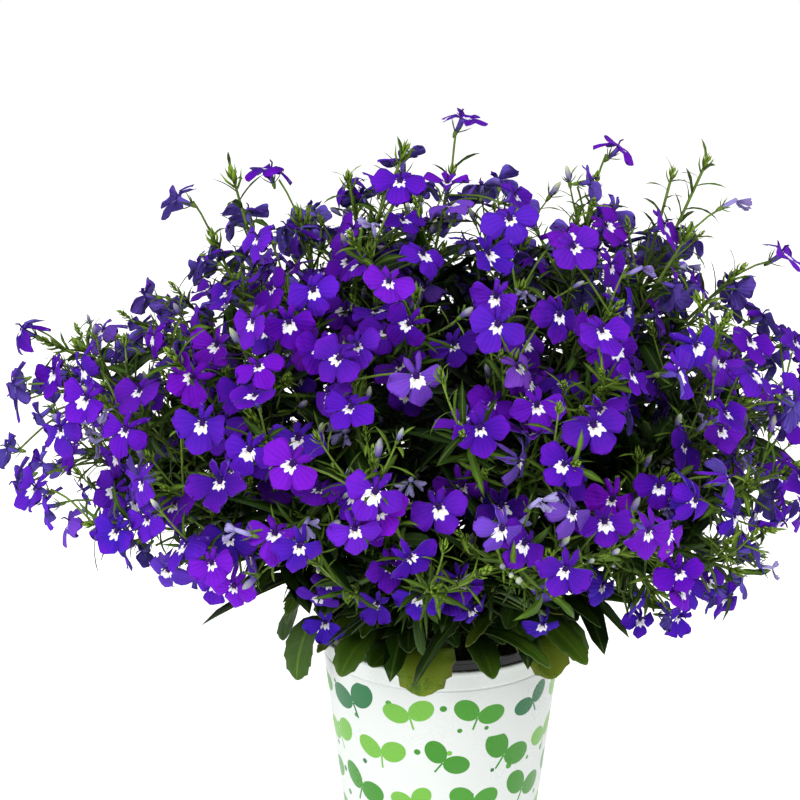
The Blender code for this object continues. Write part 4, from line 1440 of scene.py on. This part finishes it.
def headsTree():
    # One shape out of a collection on each point, turned and sized as the point says
    inputs = {"Kinds": ("Collection", None), "Scale": ("Float", 1.0), "Material": ("Material", None)}
    tree, given = newTree("headsOnPoints", inputs)
    turn = named(tree, "turn", "FLOAT_VECTOR")
    sockets = {
        "Points": addField(tree, "GeometryNodeMeshToPoints", {0: given["Geometry"]}),
        "Instance Index": named(tree, "variant", "INT"),
        "Rotation": addField(tree, "FunctionNodeEulerToRotation", {0: turn}),
        "Scale": named(tree, "size") * given["Scale"],
    }
    endTree(tree, pickFrom(tree, given["Kinds"], sockets), given["Material"])
    return tree


leafyStem = leafyStemTree()
headsOnPoints = headsTree()


# Extra growth that only the dressed plant has: low leaves, inner flowers, and leafy twigs with buds
def moundShare(point):
    # How far out a point lies: 0 at the middle of the rim, 1 at the outside of the mound
    return (point - rimMiddle).length / moundReach((point - rimMiddle).normalized())


def clearOfRim(balls):
    # True where nothing dips into the pot's lip
    lowest = pot["rimTop"] + lowLeafPlan["clear"]
    for point, radius in balls:
        overLip = lowLeafPlan["insideLip"] < math.hypot(point.x, point.y) < pot["potLipRadius"] + radius
        if overLip and point.z - radius <= lowest:
            return False
    return True


lowLeafPlan = {
    "perStem": 5,
    "tries": 14,
    "length": (0.024, 0.040),
    "width": (0.0055, 0.0105),
    "rise": (0.05, 0.75),
    "hang": (0.05, 0.45),
    # height over the rim that a leaf keeps, from a little inside the lip outwards
    "clear": 0.0008,
    "insideLip": 0.044,
    # one row for each band of leaves over the rim:
    # count, half its span in degrees, width, reach, height, tone
    "bands": [
        (46, 180, (0.0075, 0.0135), (0.058, 0.082), (-0.003, 0.034), (0.2, 0.95)),
        # the higher band in front takes lighter tones: painted light that lifts it out of the shade under the
        # flowers
        (40, 70, (0.0055, 0.0105), (0.072, 0.108), (0.012, 0.058), (0.6, 1.0)),
    ],
    # where leaves over the rim have begun to yellow, in degrees round the pot from the front
    "yellowTurns": (-8, 40, 150),
    "yellowSpread": 8,
}


def addLowLeaf(plant, name, path, radius, start, air):
    # True where the leaf finds room
    balls = ballsAlong(path, radius, start)
    free = clearOfRim(balls) and air.isFree(balls, {plant["shoots"][0]["name"]}, overRim=True)
    if free:
        air.take(balls, name)
    return free


def growLowLeaves(plant, number, air):
    # Spoon-shaped leaves low on each stem, which fill the foot of the mound
    plan = lowLeafPlan
    draw = random.Random(8000 + number)
    stem = plant["shoots"][0]
    plant["lowLeaves"] = []
    for k in range(plan["perStem"]):
        for attempt in range(plan["tries"]):
            root, _ = along(stem["points"], draw.uniform(0.12, 0.46))
            turn = math.atan2(root.y, root.x) + draw.uniform(-1.2, 1.2)
            flat = Vector((math.cos(turn), math.sin(turn), 0))
            length = draw.uniform(*plan["length"])
            width = draw.uniform(*plan["width"])
            rise = draw.uniform(*plan["rise"])
            middle = root + 0.55 * length * (flat + (rise + 0.35) * up).normalized()
            end = root + length * (flat + rise * up).normalized() - length * draw.uniform(*plan["hang"]) * up
            path = bend(root, middle, end, 7)
            if addLowLeaf(plant, ("low leaf", number, k), path, 0.22 * width, 0.010, air):
                leaf = {"points": path, "width": width, "side": flat.cross(up)}
                plant["lowLeaves"].append({**leaf, "tint": draw.uniform(0.2, 0.95)})
                break


def growFringe(plants, air):
    # Broad leaves that lean out over the rim: one band all round, and a higher one in front
    plan = lowLeafPlan
    for band, (count, span, widths, reaches, heights, tones) in enumerate(plan["bands"]):
        for k in range(count):
            draw = random.Random(8500 + 100 * band + k)
            for attempt in range(plan["tries"]):
                flat = roundPot(math.radians(span) * (2 * (k + draw.uniform(0.1, 0.9)) / count - 1))
                near = sorted(plants, key=lambda p: -along(p["shoots"][0]["points"], 0.3)[0].dot(flat))
                plant = draw.choice(near[:5])
                root = along(plant["shoots"][0]["points"], draw.uniform(0.12, 0.30))[0]
                end = draw.uniform(*reaches) * flat
                end.z = pot["rimTop"] + draw.uniform(*heights)
                middle = root.lerp(end, 0.55)
                middle.z = max(root.z, end.z, pot["rimTop"]) + draw.uniform(0.006, 0.018)
                path = bend(root, middle, end, 7)
                width = draw.uniform(*widths)
                if addLowLeaf(plant, ("fringe", band, k), path, 0.16 * width, 0.012, air):
                    roll = draw.uniform(-0.5, 0.5)
                    side = math.cos(roll) * flat.cross(up) + math.sin(roll) * up
                    leaf = {"points": path, "width": width, "side": side, "tint": draw.uniform(*tones)}
                    plant["lowLeaves"].append(leaf)
                    break


innerPlan = {
    "perShoot": 4,
    "tries": 40,
    "apart": 0.0118,
    "stalk": (0.013, 0.032),
    "size": (0.82, 1.02),
    "outermost": 0.97,
    # lowest height over the rim, and the same in front, where the leaves show
    "lowest": 0.024,
    "lowestInFront": 0.082,
    "frontHalfWidth": 0.085,
}


def growInnerFlowers(shoot, flowerPlaces, air):
    # More flowers between the outer ones, where the solids leave room for them
    plan = innerPlan
    draw = random.Random(f'inner {shoot["name"]}')
    for k in range(plan["perShoot"]):
        for attempt in range(plan["tries"]):
            root, tangent = along(shoot["points"], draw.uniform(0.40, 1.0))
            outward = (root - mound["centre"]).normalized()
            wobble = anyWay(draw)
            heading = (tangent + 0.7 * outward + 0.9 * wobble).normalized()
            place = root + draw.uniform(*plan["stalk"]) * heading
            inFront = place.y < 0 and abs(place.x) < plan["frontHalfWidth"]
            lowest = pot["rimTop"] + plan["lowestInFront" if inFront else "lowest"]
            if place.z < max(lowest, skirtHeight(place)) or moundShare(place) > plan["outermost"]:
                continue
            if amongLeaves(place) or any((place - other).length < plan["apart"] for other in flowerPlaces):
                continue
            facing = place - mound["centre"]
            facing.z = 0.5 * facing.z + 0.012
            axes = bloomAxes(facing.normalized() + 0.55 * wobble, draw.uniform(-0.9, 0.9))
            size = draw.uniform(*plan["size"])
            if (place - root).dot(axes[2]) < 0.25 * (place - root).length:
                continue
            balls = [(spot, 0.62 * radius) for spot, radius in bloomBalls(place, axes, size)]
            if air.isFree(balls, {shoot["name"]}):
                air.take(balls, ("inner", shoot["name"], k))
                flowerPlaces.append(place)
                shoot["blooms"].append({"root": root, "place": place, "axes": axes, "size": size})
                break


twigPlan = {
    "perShoot": 6,
    "tries": 5,
    "length": (0.014, 0.036),
    "clear": 0.0010,
    "outermost": 0.99,
    "budShare": 0.45,
}


def growTwigs(shoot, air):
    plan = twigPlan
    draw = random.Random(f'twig {shoot["name"]}')
    twigs = []
    for k in range(plan["perShoot"]):
        for attempt in range(plan["tries"]):
            root, tangent = along(shoot["points"], draw.uniform(0.42, 0.99))
            aside = sideways(tangent, draw.uniform(0, math.tau))
            lean = math.radians(draw.uniform(22, 60))
            heading = math.cos(lean) * tangent + math.sin(lean) * aside
            length = draw.uniform(*plan["length"])
            end = root + length * (heading + 0.25 * up).normalized()
            points = bend(root, root + 0.5 * length * heading, end, 4)
            balls = ballsAlong(points, plan["clear"], 0.003)
            inside = moundShare(end) < plan["outermost"] and end.z > skirtHeight(end)
            if inside and air.isFree(balls, {shoot["name"]}):
                air.take(balls, ("twig", shoot["name"], k))
                twigs.append({"points": points, "bud": draw.random() < plan["budShare"]})
                break
    return twigs


# Small flowers low in front, among the leaves: places from the middle of the pot's foot
frontFlowers = [
    (-0.050, -0.088, 0.142),
    (-0.048, -0.076, 0.114),
    (-0.026, -0.103, 0.150),
    (0.000, -0.103, 0.148),
    (0.039, -0.100, 0.149),
    (0.062, -0.088, 0.149),
    (-0.009, -0.108, 0.162),
    (0.020, -0.110, 0.162),
]
allShoots = [shoot for plant in plants for shoot in plant["shoots"]]
for k, spot in enumerate(frontFlowers):
    if not growBloom(("front flower", k), random.Random(950 + k), Vector(spot), 0.008, allShoots, air):
        print("no room for front flower", k)
flowerPlaces = [bloom["place"] for shoot in allShoots for bloom in shoot["blooms"]]
outerFlowers = len(flowerPlaces)
for number, plant in enumerate(plants, 1):
    growLowLeaves(plant, number, air)
growFringe(plants, air)
for shoot in allShoots:
    growInnerFlowers(shoot, flowerPlaces, air)
for shoot in allShoots:
    shoot["twigs"] = growTwigs(shoot, air)
lowLeaves = sum(len(plant["lowLeaves"]) for plant in plants)
print("inner flowers:", len(flowerPlaces) - outerFlowers, "low leaves:", lowLeaves)
print("twigs:", sum(len(shoot["twigs"]) for shoot in allShoots))


# From places to meshes that the trees run on
def writeColumn(mesh, name, values, kind="FLOAT", key="value"):
    mesh.attributes.new(name, kind, "POINT").data.foreach_set(key, values)


def pathsObject(name, paths):
    # All paths as one mesh of edges, with what the stem tree reads on its points
    spots, edges, columns = [], [], {"thickness": [], "age": [], "leafSize": [], "tint": []}
    for path in paths:
        first = len(spots)
        for k, point in enumerate(path["points"]):
            v = k / (len(path["points"]) - 1)
            spots.append(point)
            ends = (path["radii"], path["age"], path["leaf"])
            size, age, leaf = (start + (end - start) * v for start, end in ends)
            # no leaves where the stem stands in the pot
            bare = point.z <= pot["rimTop"] + 0.006 and math.hypot(point.x, point.y) <= 0.060
            for column, value in zip(columns.values(), (size, age, 0.0 if bare else leaf, 0.5)):
                column.append(value)
            if k:
                edges.append((first + k - 1, first + k))
    mesh = bpy.data.meshes.new(name)
    mesh.from_pydata(spots, edges, [])
    for key, values in columns.items():
        writeColumn(mesh, key, values)
    return meshObject(name, mesh)


def pointsObject(name, heads):
    mesh = bpy.data.meshes.new(name)
    mesh.from_pydata([head["place"] for head in heads], [], [])
    for key in ("size", "tint", "fade", "blue", "eyeSize", "age"):
        writeColumn(mesh, key, [head.get(key, 0.0) for head in heads])
    writeColumn(mesh, "variant", [head["variant"] for head in heads], "INT")
    writeColumn(mesh, "turn", [c for head in heads for c in head["turn"]], "FLOAT_VECTOR", "vector")
    return meshObject(name, mesh)


def turnAlong(direction):
    # The turn that sets a shape's +Z along a direction
    return direction.to_track_quat("Z", "Y").to_euler("XYZ")


flowerLook = {
    "fadedShare": 0.05,
    "fadedShareLow": 0.05,
    "witheredShare": 0.06,
    "openKinds": (0, 0, 1, 1, 2, 2, 3, 4, 5, 6, 6, 7),
    "fadedKinds": (3, 5, 7),
    "swing": 0.40,
    "lowShrink": 0.36,
    "lowHeight": 0.085,
    "eyeSize": (0.70, 1.12),
    "budSize": (0.55, 1.05),
}


def flowerHead(bloom, draw):
    # One flower on its place, smaller and bluer low on the plant
    look = flowerLook
    place = bloom["place"]
    low = min(max(0, 1 - (place.z - pot["rimTop"]) / look["lowHeight"]), 1)
    fade = draw.uniform(0, 0.015)
    kind = draw.choice(look["openKinds"])
    if draw.random() < look["fadedShare"] + look["fadedShareLow"] * low:
        fade = draw.uniform(0.04, 0.16)
        kind = draw.choice(look["fadedKinds"])
    if draw.random() < look["witheredShare"]:
        fade = draw.uniform(0.5, 0.9)
        kind = bloomShapeLook["withered"]
    tint = min(max(draw.gauss(0.58 - 0.10 * low, 0.32), 0), 1)
    blue = min(max(draw.gauss(0.14 + 0.85 * low, 0.20), 0), 1)
    turn = Matrix(bloom["axes"]).transposed()
    for axis in "XYZ":
        turn = turn @ Matrix.Rotation(look["swing"] * draw.uniform(-1, 1), 3, axis)
    return {
        "place": place,
        "turn": turn.to_euler("XYZ"),
        "size": bloom["size"] * (1 - look["lowShrink"] * low),
        "variant": kind,
        "tint": tint,
        "blue": blue,
        "fade": fade,
        "calyx": draw.randrange(len(greenShapeLook["calyxes"])),
        "eyeSize": draw.uniform(*look["eyeSize"]),
    }


def twigBud(points, draw):
    look = flowerLook
    tangent = (points[-1] - points[-2]).normalized()
    size = draw.uniform(*look["budSize"])
    return {
        "place": points[-1] + 0.0070 * size * tangent,
        "turn": turnAlong(tangent),
        "size": size,
        "variant": bloomShapeLook["bud"],
        "calyx": draw.randrange(len(greenShapeLook["calyxes"])),
        "tint": draw.random(),
    }


def flowerHeads(plant, number):
    # The flowers on their places, and buds at the twigs' tips
    draw = random.Random(7000 + number)
    heads = []
    for shoot in plant["shoots"]:
        heads += [flowerHead(bloom, draw) for bloom in shoot["blooms"]]
        heads += [twigBud(twig["points"], draw) for twig in shoot["twigs"] if twig["bud"]]
    return heads


def tufts(plant, number):
    # A tuft of young leaves ends each shoot, and each twig without a bud
    draw = random.Random(7500 + number)
    made = []
    for shoot in plant["shoots"]:
        paths = [(shoot["points"], (0.7, 1.15))]
        paths += [(twig["points"], (0.5, 0.9)) for twig in shoot["twigs"] if not twig["bud"]]
        for path, sizes in paths:
            tuft = {"place": path[-1], "turn": turnAlong((path[-1] - path[-2]).normalized())}
            tuft.update({"size": draw.uniform(*sizes), "variant": draw.choice((3, 4)), "tint": draw.random()})
            made.append(tuft)
    return made


coreLook = {
    "perShoot": 16,
    "deepest": 0.15,
    "outermost": 0.80,
    "outermostBehind": 0.90,
    "size": (0.95, 1.50),
    "overRim": 0.008,
    "kind": 5,
}


def coreLeaves(plant, number):
    # Large dark leaves deep in the mound, so that little light comes through it
    look = coreLook
    draw = random.Random(7700 + number)
    made = []
    for shoot in plant["shoots"]:
        for k in range(look["perShoot"]):
            root = along(shoot["points"], draw.uniform(0.25, 1.0))[0]
            away = (root - rimMiddle).normalized()
            aside = Vector((draw.uniform(-1, 1), draw.uniform(-1, 1), draw.uniform(-0.5, 1)))
            aim = (aside + 0.4 * away).normalized()
            size = draw.uniform(*look["size"])
            tip = root + greenShapeLook["coreLeafLength"] * size * aim
            shares = [moundShare(root), moundShare(tip)]
            limit = look["outermostBehind"] if root.y > 0 else look["outermost"]
            if min(shares) < look["deepest"] or max(shares) > limit:
                continue
            if min(root.z, tip.z) < pot["rimTop"] + look["overRim"]:
                continue
            leaf = {"place": root, "turn": turnAlong(aim), "size": size, "variant": look["kind"]}
            made.append({**leaf, "tint": draw.uniform(0, 0.6)})
    return made


# How each sort of path looks: its radii, age and leaf size at its two ends
stemLook = {
    "stem": {"age": (0.0, 0.25), "leaf": (0.95, 0.85)},
    "shoot": {"age": (0.05, 0.55), "leaf": (1.05, 0.62)},
    "stalk": {"radii": (0.00045, 0.00050), "age": (0.4, 0.5), "leaf": (0.0, 0.0)},
    "twig": {"radii": (0.00055, 0.00035), "age": (0.35, 0.85), "leaf": (0.75, 0.40)},
    "leafSpacing": 0.0036,
    "stemShare": 0.66,
    "flowerScale": 1.12,
}


def stalkPath(bloom):
    # A flower's stalk, bent a little upwards on its way to the tube
    back = bloom["place"] - bloom["size"] * growth["tubeLength"] * bloom["axes"][2]
    middle = bloom["root"].lerp(back, 0.55) + 0.06 * (back - bloom["root"]).length * up
    return [bloom["root"], middle, back]


def greenPaths(plant):
    look = stemLook
    paths = []
    for shoot in plant["shoots"]:
        radii = [radius * look["stemShare"] for radius in shoot["radii"]]
        paths.append({**look[shoot["name"][0]], "points": shoot["points"], "radii": radii})
        paths += [{**look["stalk"], "points": stalkPath(bloom)} for bloom in shoot["blooms"]]
        paths += [{**look["twig"], "points": twig["points"]} for twig in shoot["twigs"]]
    return paths


# Broad toothed leaves, each along its own midrib
broadLeafLook = {
    "thickness": 0.0005,
    "toothDepth": 0.045,
    "toothLean": 0.45,
    "toothed": (0.30, 0.90),
    "rows": 17,
    "across": 4,
    "stalk": 0.14,
    "stalkWidth": 0.09,
    # where the blade is widest: above 1 nearer its tip
    "widest": 1.35,
    "roundness": 0.52,
    "curl": (0.05, 0.30),
    "waves": 0.07,
}


def broadLeaf(name, path, width, side, tone, draw, tipSide=None):
    # The blade widens from a short stalk to a round end, with blunt teeth, a sunk midrib and waved sides
    look = broadLeafLook
    shape = Shape("acrossLeaf", "blade", "backSide", "tint", "age", "yellow", "alongLeaf", "veined")
    length = pathLength(path)
    wave = draw.uniform(0, math.tau)
    curl = draw.uniform(*look["curl"])
    rows = []
    for r in range(look["rows"]):
        v = 1 - (1 - r / (look["rows"] - 1)) ** 1.35
        spot, tangent = along(path, v)
        turned = side.lerp(tipSide or side, v)
        aside = (turned - turned.dot(tangent) * tangent).normalized()
        s = max(v - look["stalk"], 0) / (1 - look["stalk"])
        body = math.sin(math.pi * s ** look["widest"]) ** look["roundness"] if 0 < s < 1 else 0
        tooth = (1 if r % 2 else -1) if look["toothed"][0] < s < look["toothed"][1] else 0
        half = 0.5 * width * max(body * (1 + look["toothDepth"] * tooth), look["stalkWidth"])
        ahead = look["toothLean"] * max(tooth, 0) * length / look["rows"] * tangent
        numbers = {"alongLeaf": v, "tint": tone["tint"], "age": tone["age"] * (0.6 + 0.4 * v)}
        numbers["yellow"] = tone["yellow"] * (0.25 + 0.75 * v)
        row = []
        for c in range(look["across"] + 1):
            u = 2 * c / look["across"] - 1
            lift = curl * half * abs(u) + look["waves"] * half * math.sin(9 * v + wave + 2 * u)
            place = spot + u * half * aside + lift * aside.cross(tangent)
            if abs(u) == 1:
                place += ahead
            row.append(shape.point(place, acrossLeaf=u, blade=1.0, veined=1.0, **numbers))
        rows.append(row)
    shape.bridge(list(zip(*rows)))
    shape.thicken(look["thickness"])
    shape.turnOut()
    made = shape.done(name)
    made.data.shade_smooth()
    made.data.materials.append(leafGreen)
    return made


def broadLeaves(plant, number):
    # All leaves of one stem that have their own midrib: side leaves, low leaves and the one over the rim
    draw = random.Random(6000 + number)
    made = []
    for shoot in plant["shoots"]:
        for leaf in shoot["leaves"]:
            a, b, c = leaf["points"]
            side = sideways((c - a).normalized(), draw.uniform(0, math.tau))
            tone = {"tint": draw.uniform(0.2, 0.9), "age": draw.uniform(0.1, 0.5), "yellow": 0.0}
            name = f"sideLeaf_{number}_{len(made)}"
            made.append(broadLeaf(name, bend(a, b, c, 6), leaf["width"] * 1.15, side, tone, draw))
    for leaf in plant["lowLeaves"]:
        yellow = draw.uniform(0.3, 0.8) if draw.random() < 0.08 else 0.0
        tone = {"tint": leaf["tint"], "age": draw.uniform(0.0, 0.45), "yellow": yellow}
        name = f"lowLeaf_{number}_{len(made)}"
        made.append(broadLeaf(name, leaf["points"], leaf["width"], leaf["side"], tone, draw))
    if plant["rimLeaf"]:
        leaf = plant["rimLeaf"]
        end = leaf["points"][-1]
        turn = math.degrees(math.atan2(end.x, -end.y))
        nearest = min(abs(turn - yellowTurn) for yellowTurn in lowLeafPlan["yellowTurns"])
        yellow = max(0, 1 - nearest / lowLeafPlan["yellowSpread"])
        tone = {"tint": draw.uniform(0.45, 0.95), "age": 0.15 + 0.2 * yellow, "yellow": 0.85 * yellow}
        tipSide = leaf["across"]
        if abs(turn) < 95:
            # those that show in the photograph turn their face to the front
            tipSide = (tipSide + math.copysign(1, tipSide.x) * Vector((1, 0, 0))).normalized()
        width = leaf["width"] * (1.15 + 0.25 * yellow)
        name = f"rimLeaf_{number}"
        made.append(broadLeaf(name, leaf["points"], width, leaf["across"], tone, draw, tipSide))
    return made


def joined(name, objects):
    # One object out of several plain ones
    first = objects[0]
    chosen = {"selected_objects": objects, "selected_editable_objects": objects}
    with bpy.context.temp_override(active_object=first, object=first, **chosen):
        bpy.ops.object.join()
    first.name = name
    first.data.name = name
    return first


def dressPlant(number, plant):
    # Two pieces for each stem: all that is green, and its flowers and buds
    look = stemLook
    stems = pathsObject(f"green_{number}", greenPaths(plant))
    values = {"Leaves": leafCollection, "Leaf Spacing": look["leafSpacing"]}
    runTree(stems, leafyStem, {**values, "Material": leafGreen, "Seed": number})
    heads = flowerHeads(plant, number)
    calyxPoints = [{**head, "variant": head["calyx"]} for head in heads]
    calyxPoints += tufts(plant, number) + coreLeaves(plant, number)
    calyxes = pointsObject(f"calyx_{number}", calyxPoints)
    runTree(calyxes, headsOnPoints, {"Kinds": calyxCollection, "Material": leafGreen, "Scale": 1.0})
    green = joined(f"leafyStem_{number:02d}", [stems, calyxes] + broadLeaves(plant, number))
    flowers = pointsObject(f"flowers_{number:02d}", heads)
    values = {"Kinds": flowerCollection, "Material": petalViolet, "Scale": look["flowerScale"]}
    runTree(flowers, headsOnPoints, values)
    for piece in (green, flowers):
        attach(piece, "root")
        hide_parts(f"stem_{number:02d}")


for number, plant in enumerate(plants, 1):
    dressPlant(number, plant)
for kinds in (flowerCollection, calyxCollection, leafCollection):
    for item in list(kinds.objects):
        bpy.data.objects.remove(item, do_unlink=True)
    bpy.data.collections.remove(kinds)
print("plant dressed")


# Pots
potLook = {
    "sides": 96,
    "corner": 0.0008,
    # the fine groove round the outer pot: how far under its top, and how deep
    "grooveDrop": 0.0085,
    "grooveDepth": 0.0004,
    # the inner pot's stepped collar
    "collarStep": 0.0009,
    "collarCorner": 0.0004,
    "sharpAngle": math.radians(32),
}


def turnedPiece(name, profile, material, sides):
    # A profile of (radius, height) points, turned round the pot's axis
    shape = Shape()
    spots = [shape.point((radius, 0, height)) for radius, height in profile]
    for a, b in zip(spots, spots[1:]):
        shape.bm.edges.new((a, b))
    made = shape.done(name)
    screw = made.modifiers.new("turn", "SCREW")
    screw.angle = math.tau
    screw.steps = screw.render_steps = sides
    screw.use_merge_vertices = True
    screw.merge_threshold = 0.00001
    mesh = keepResult(made).data
    mesh.shade_smooth()
    mesh.set_sharp_from_angle(angle=potLook["sharpAngle"])
    mesh.materials.clear()
    mesh.materials.append(material)
    return made


def softProfile(corners, radius):
    # The profile with its inner corners rounded off
    made = [corners[0]]
    for before, corner, after in zip(corners, corners[1:], corners[2:]):
        middle = Vector(corner)
        sides = [Vector(before) - middle, Vector(after) - middle]
        cut = min(radius, 0.45 * min(side.length for side in sides))
        start, end = (side.normalized() * cut + middle for side in sides)
        made += [tuple(spot) for spot in bend(start, middle, end, 4)]
    return made + [corners[-1]]


def outerPotPiece():
    look = potLook
    rim, wall, bead = pot["sleeveRimRadius"], pot["sleeveWall"], pot["sleeveBead"]
    top, floor = pot["sleeveHeight"], pot["sleeveFloor"]
    line, step = top - look["grooveDrop"], look["grooveDepth"]
    corners = [
        (0, floor),
        (sleeveRadius(floor) - wall, floor),
        (rim - wall, top),
        (rim + bead, top),
        (rim + bead, top - 2 * bead),
        (sleeveRadius(top - 2 * bead), top - 2 * bead),
        (sleeveRadius(line), line),
        (sleeveRadius(line) - step, line - step),
        (sleeveRadius(line) - step, line - 2.5 * step),
        (sleeveRadius(line - 3.5 * step), line - 3.5 * step),
        (pot["sleeveFootRadius"], 0),
        (0, 0),
    ]
    return turnedPiece("outerPot", softProfile(corners, look["corner"]), whitePlastic, look["sides"])


def innerPotPiece():
    look = potLook
    floor, step = pot["nurseryFloor"], look["collarStep"]
    foot = pot["sleeveHeight"] + pot["gap"]
    wall, lip, top = nurseryRadius(foot), pot["potLipRadius"], pot["rimTop"]
    corners = [
        (0, floor + pot["potFloor"]),
        (nurseryRadius(floor) - pot["potWall"], floor + pot["potFloor"]),
        (wall - pot["potWall"], foot),
        (wall - pot["potWall"] + step, foot + 2 * step),
        (lip - 2 * step, top),
        (lip, top),
        (lip, top - 2 * step),
        (lip - step, top - 2.5 * step),
        (lip - step, foot),
        (wall, foot),
        (nurseryRadius(floor), floor),
        (0, floor),
    ]
    return turnedPiece("nurseryPot", softProfile(corners, look["collarCorner"]), blackPlastic, look["sides"])


soilLook = {
    "rings": 22,
    "sides": 60,
    # one row for each noise that lifts the soil: scale, height
    "bumps": [(160, 0.0013), (420, 0.0006)],
    # how fast the bumps grow from the wall inwards
    "edgeSlope": 8,
}


def soilPiece():
    look = soilLook
    floor = pot["nurseryFloor"] + pot["potFloor"] + pot["gap"]
    inset = pot["potWall"] + 2 * pot["gap"]
    edge = nurseryRadius(pot["soilTop"]) - inset
    radii = [edge * k / look["rings"] for k in range(look["rings"] + 1)]
    profile = [(radius, soilHeight(radius)) for radius in radii]
    profile += [(nurseryRadius(floor) - inset, floor), (0, floor)]
    made = turnedPiece("soil", profile, soilDark, look["sides"])
    for vert in made.data.vertices:
        place = vert.co.copy()
        if place.z > pot["soilTop"] - 0.0001:
            inward = min(1, look["edgeSlope"] * (1 - math.hypot(place.x, place.y) / edge))
            vert.co.z += inward * sum(noise.noise(place * scale) * height for scale, height in look["bumps"])
    return made


def crumbTree():
    # Crumbs of compost scattered over the top of the soil
    inputs = {
        "Density": ("Float", 45000.0),
        "Size Min": ("Float", 0.0008),
        "Size Max": ("Float", 0.0022),
        "Top": ("Float", 0.0935),
        "Seed": ("Int", 4),
        "Material": ("Material", None),
    }
    tree, given = newTree("soilCrumbs", inputs)
    height = addField(tree, "ShaderNodeSeparateXYZ", {0: addField(tree, "GeometryNodeInputPosition")}, 2)
    onTop = addField(tree, "FunctionNodeCompare", {0: height, 1: given["Top"]}, operation="GREATER_THAN")
    sockets = {0: given["Geometry"], 1: onTop, "Density": given["Density"], "Seed": given["Seed"]}
    points = addField(tree, "GeometryNodeDistributePointsOnFaces", sockets)
    spins = {0: (-3, -3, -3), 1: (3, 3, 3)}
    sockets = {
        "Points": points,
        "Instance": addField(tree, "GeometryNodeMeshIcoSphere", {"Radius": 1.0, "Subdivisions": 1}),
        "Rotation": addField(tree, "FunctionNodeRandomValue", spins, data_type="FLOAT_VECTOR"),
        "Scale": rolled(tree, given["Size Min"], given["Size Max"], given["Seed"]),
    }
    crumbs = addField(tree, "GeometryNodeInstanceOnPoints", sockets)
    endTree(tree, both(tree, crumbs, given["Geometry"]), given["Material"], smooth=False)
    return tree


for piece, node, slot in (
    (outerPotPiece(), "outer_pot", "white_plastic"),
    (innerPotPiece(), "inner_pot", "black_plastic"),
    (runTree(soilPiece(), crumbTree(), {"Material": soilDark}), "potting_soil", "soil"),
):
    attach(piece, "root")
    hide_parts(node)
print("pots and soil made")


# Floor, light and camera
studio = {
    "floorSize": 6.0,
    "floorTone": (0.90, 0.90, 0.895, 1),
    "floorRoughness": 0.7,
    "floorGlowTone": (1, 1, 0.99, 1),
    "floorGlow": 0.56,
    "backdrop": 1.0,
    "sky": 0.46,
    # one row for each light: name, place, power, size
    "lights": [
        ("keyLight", (0.9, -1.7, 2.2), 68.0, 1.6),
        ("fillLight", (-1.7, -1.1, 1.1), 42.0, 1.6),
    ],
    "lightTarget": (0, 0, 0.2),
    "distance": 0.80,
    "rimElevation": 22.0,
    "axisElevation": 14.7,
    "lens": 78.5,
    "shiftRight": 0.0188,
}


def buildFloor():
    look = studio
    shape = Shape()
    bmesh.ops.create_grid(shape.bm, x_segments=2, y_segments=2, size=look["floorSize"] / 2)
    floor = shape.done("floor")
    material, _, shader = newMaterial("paleFloor")
    shader.inputs["Base Color"].default_value = look["floorTone"]
    shader.inputs["Roughness"].default_value = look["floorRoughness"]
    shader.inputs["Emission Color"].default_value = look["floorGlowTone"]
    shader.inputs["Emission Strength"].default_value = look["floorGlow"]
    floor.data.materials.append(material)


def buildSky():
    # The backdrop itself is pure white, and lights the plant a little less
    look = studio
    world = bpy.data.worlds.new("studioSky")
    world.use_nodes = True
    sky = world.node_tree
    seen = addField(sky, "ShaderNodeLightPath", output="Is Camera Ray")
    sockets = {0: seen, 2: look["sky"], 3: look["backdrop"]}
    strength = addNode(sky, "ShaderNodeMix", sockets, data_type="FLOAT")
    background = sky.nodes["Background"].inputs
    background["Color"].default_value = (1, 1, 1, 1)
    sky.links.new(strength.outputs[0], background["Strength"])
    bpy.context.scene.world = world


def placeLights():
    look = studio
    for name, place, power, size in look["lights"]:
        lamp = bpy.data.lights.new(name, "AREA")
        lamp.energy = power
        lamp.size = size
        light = bpy.data.objects.new(name, lamp)
        light.location = place
        aim = Vector(look["lightTarget"]) - Vector(place)
        light.rotation_euler = aim.to_track_quat("-Z", "Y").to_euler()
        bpy.context.scene.collection.objects.link(light)


def placeCamera():
    look = studio
    camera = bpy.data.cameras.new("camera")
    camera.lens = look["lens"]
    camera.sensor_width = 36
    eye = bpy.data.objects.new("camera", camera)
    tilt = math.radians(look["rimElevation"])
    back, rise = look["distance"] * math.cos(tilt), look["distance"] * math.sin(tilt)
    eye.location = (-look["shiftRight"], -back, pot["sleeveHeight"] + rise)
    eye.rotation_euler = (math.radians(90 - look["axisElevation"]), 0, 0)
    bpy.context.scene.collection.objects.link(eye)
    bpy.context.scene.camera = eye
    bpy.context.scene.view_settings.view_transform = "Standard"


buildFloor()
buildSky()
placeLights()
placeCamera()
print("studio ready")
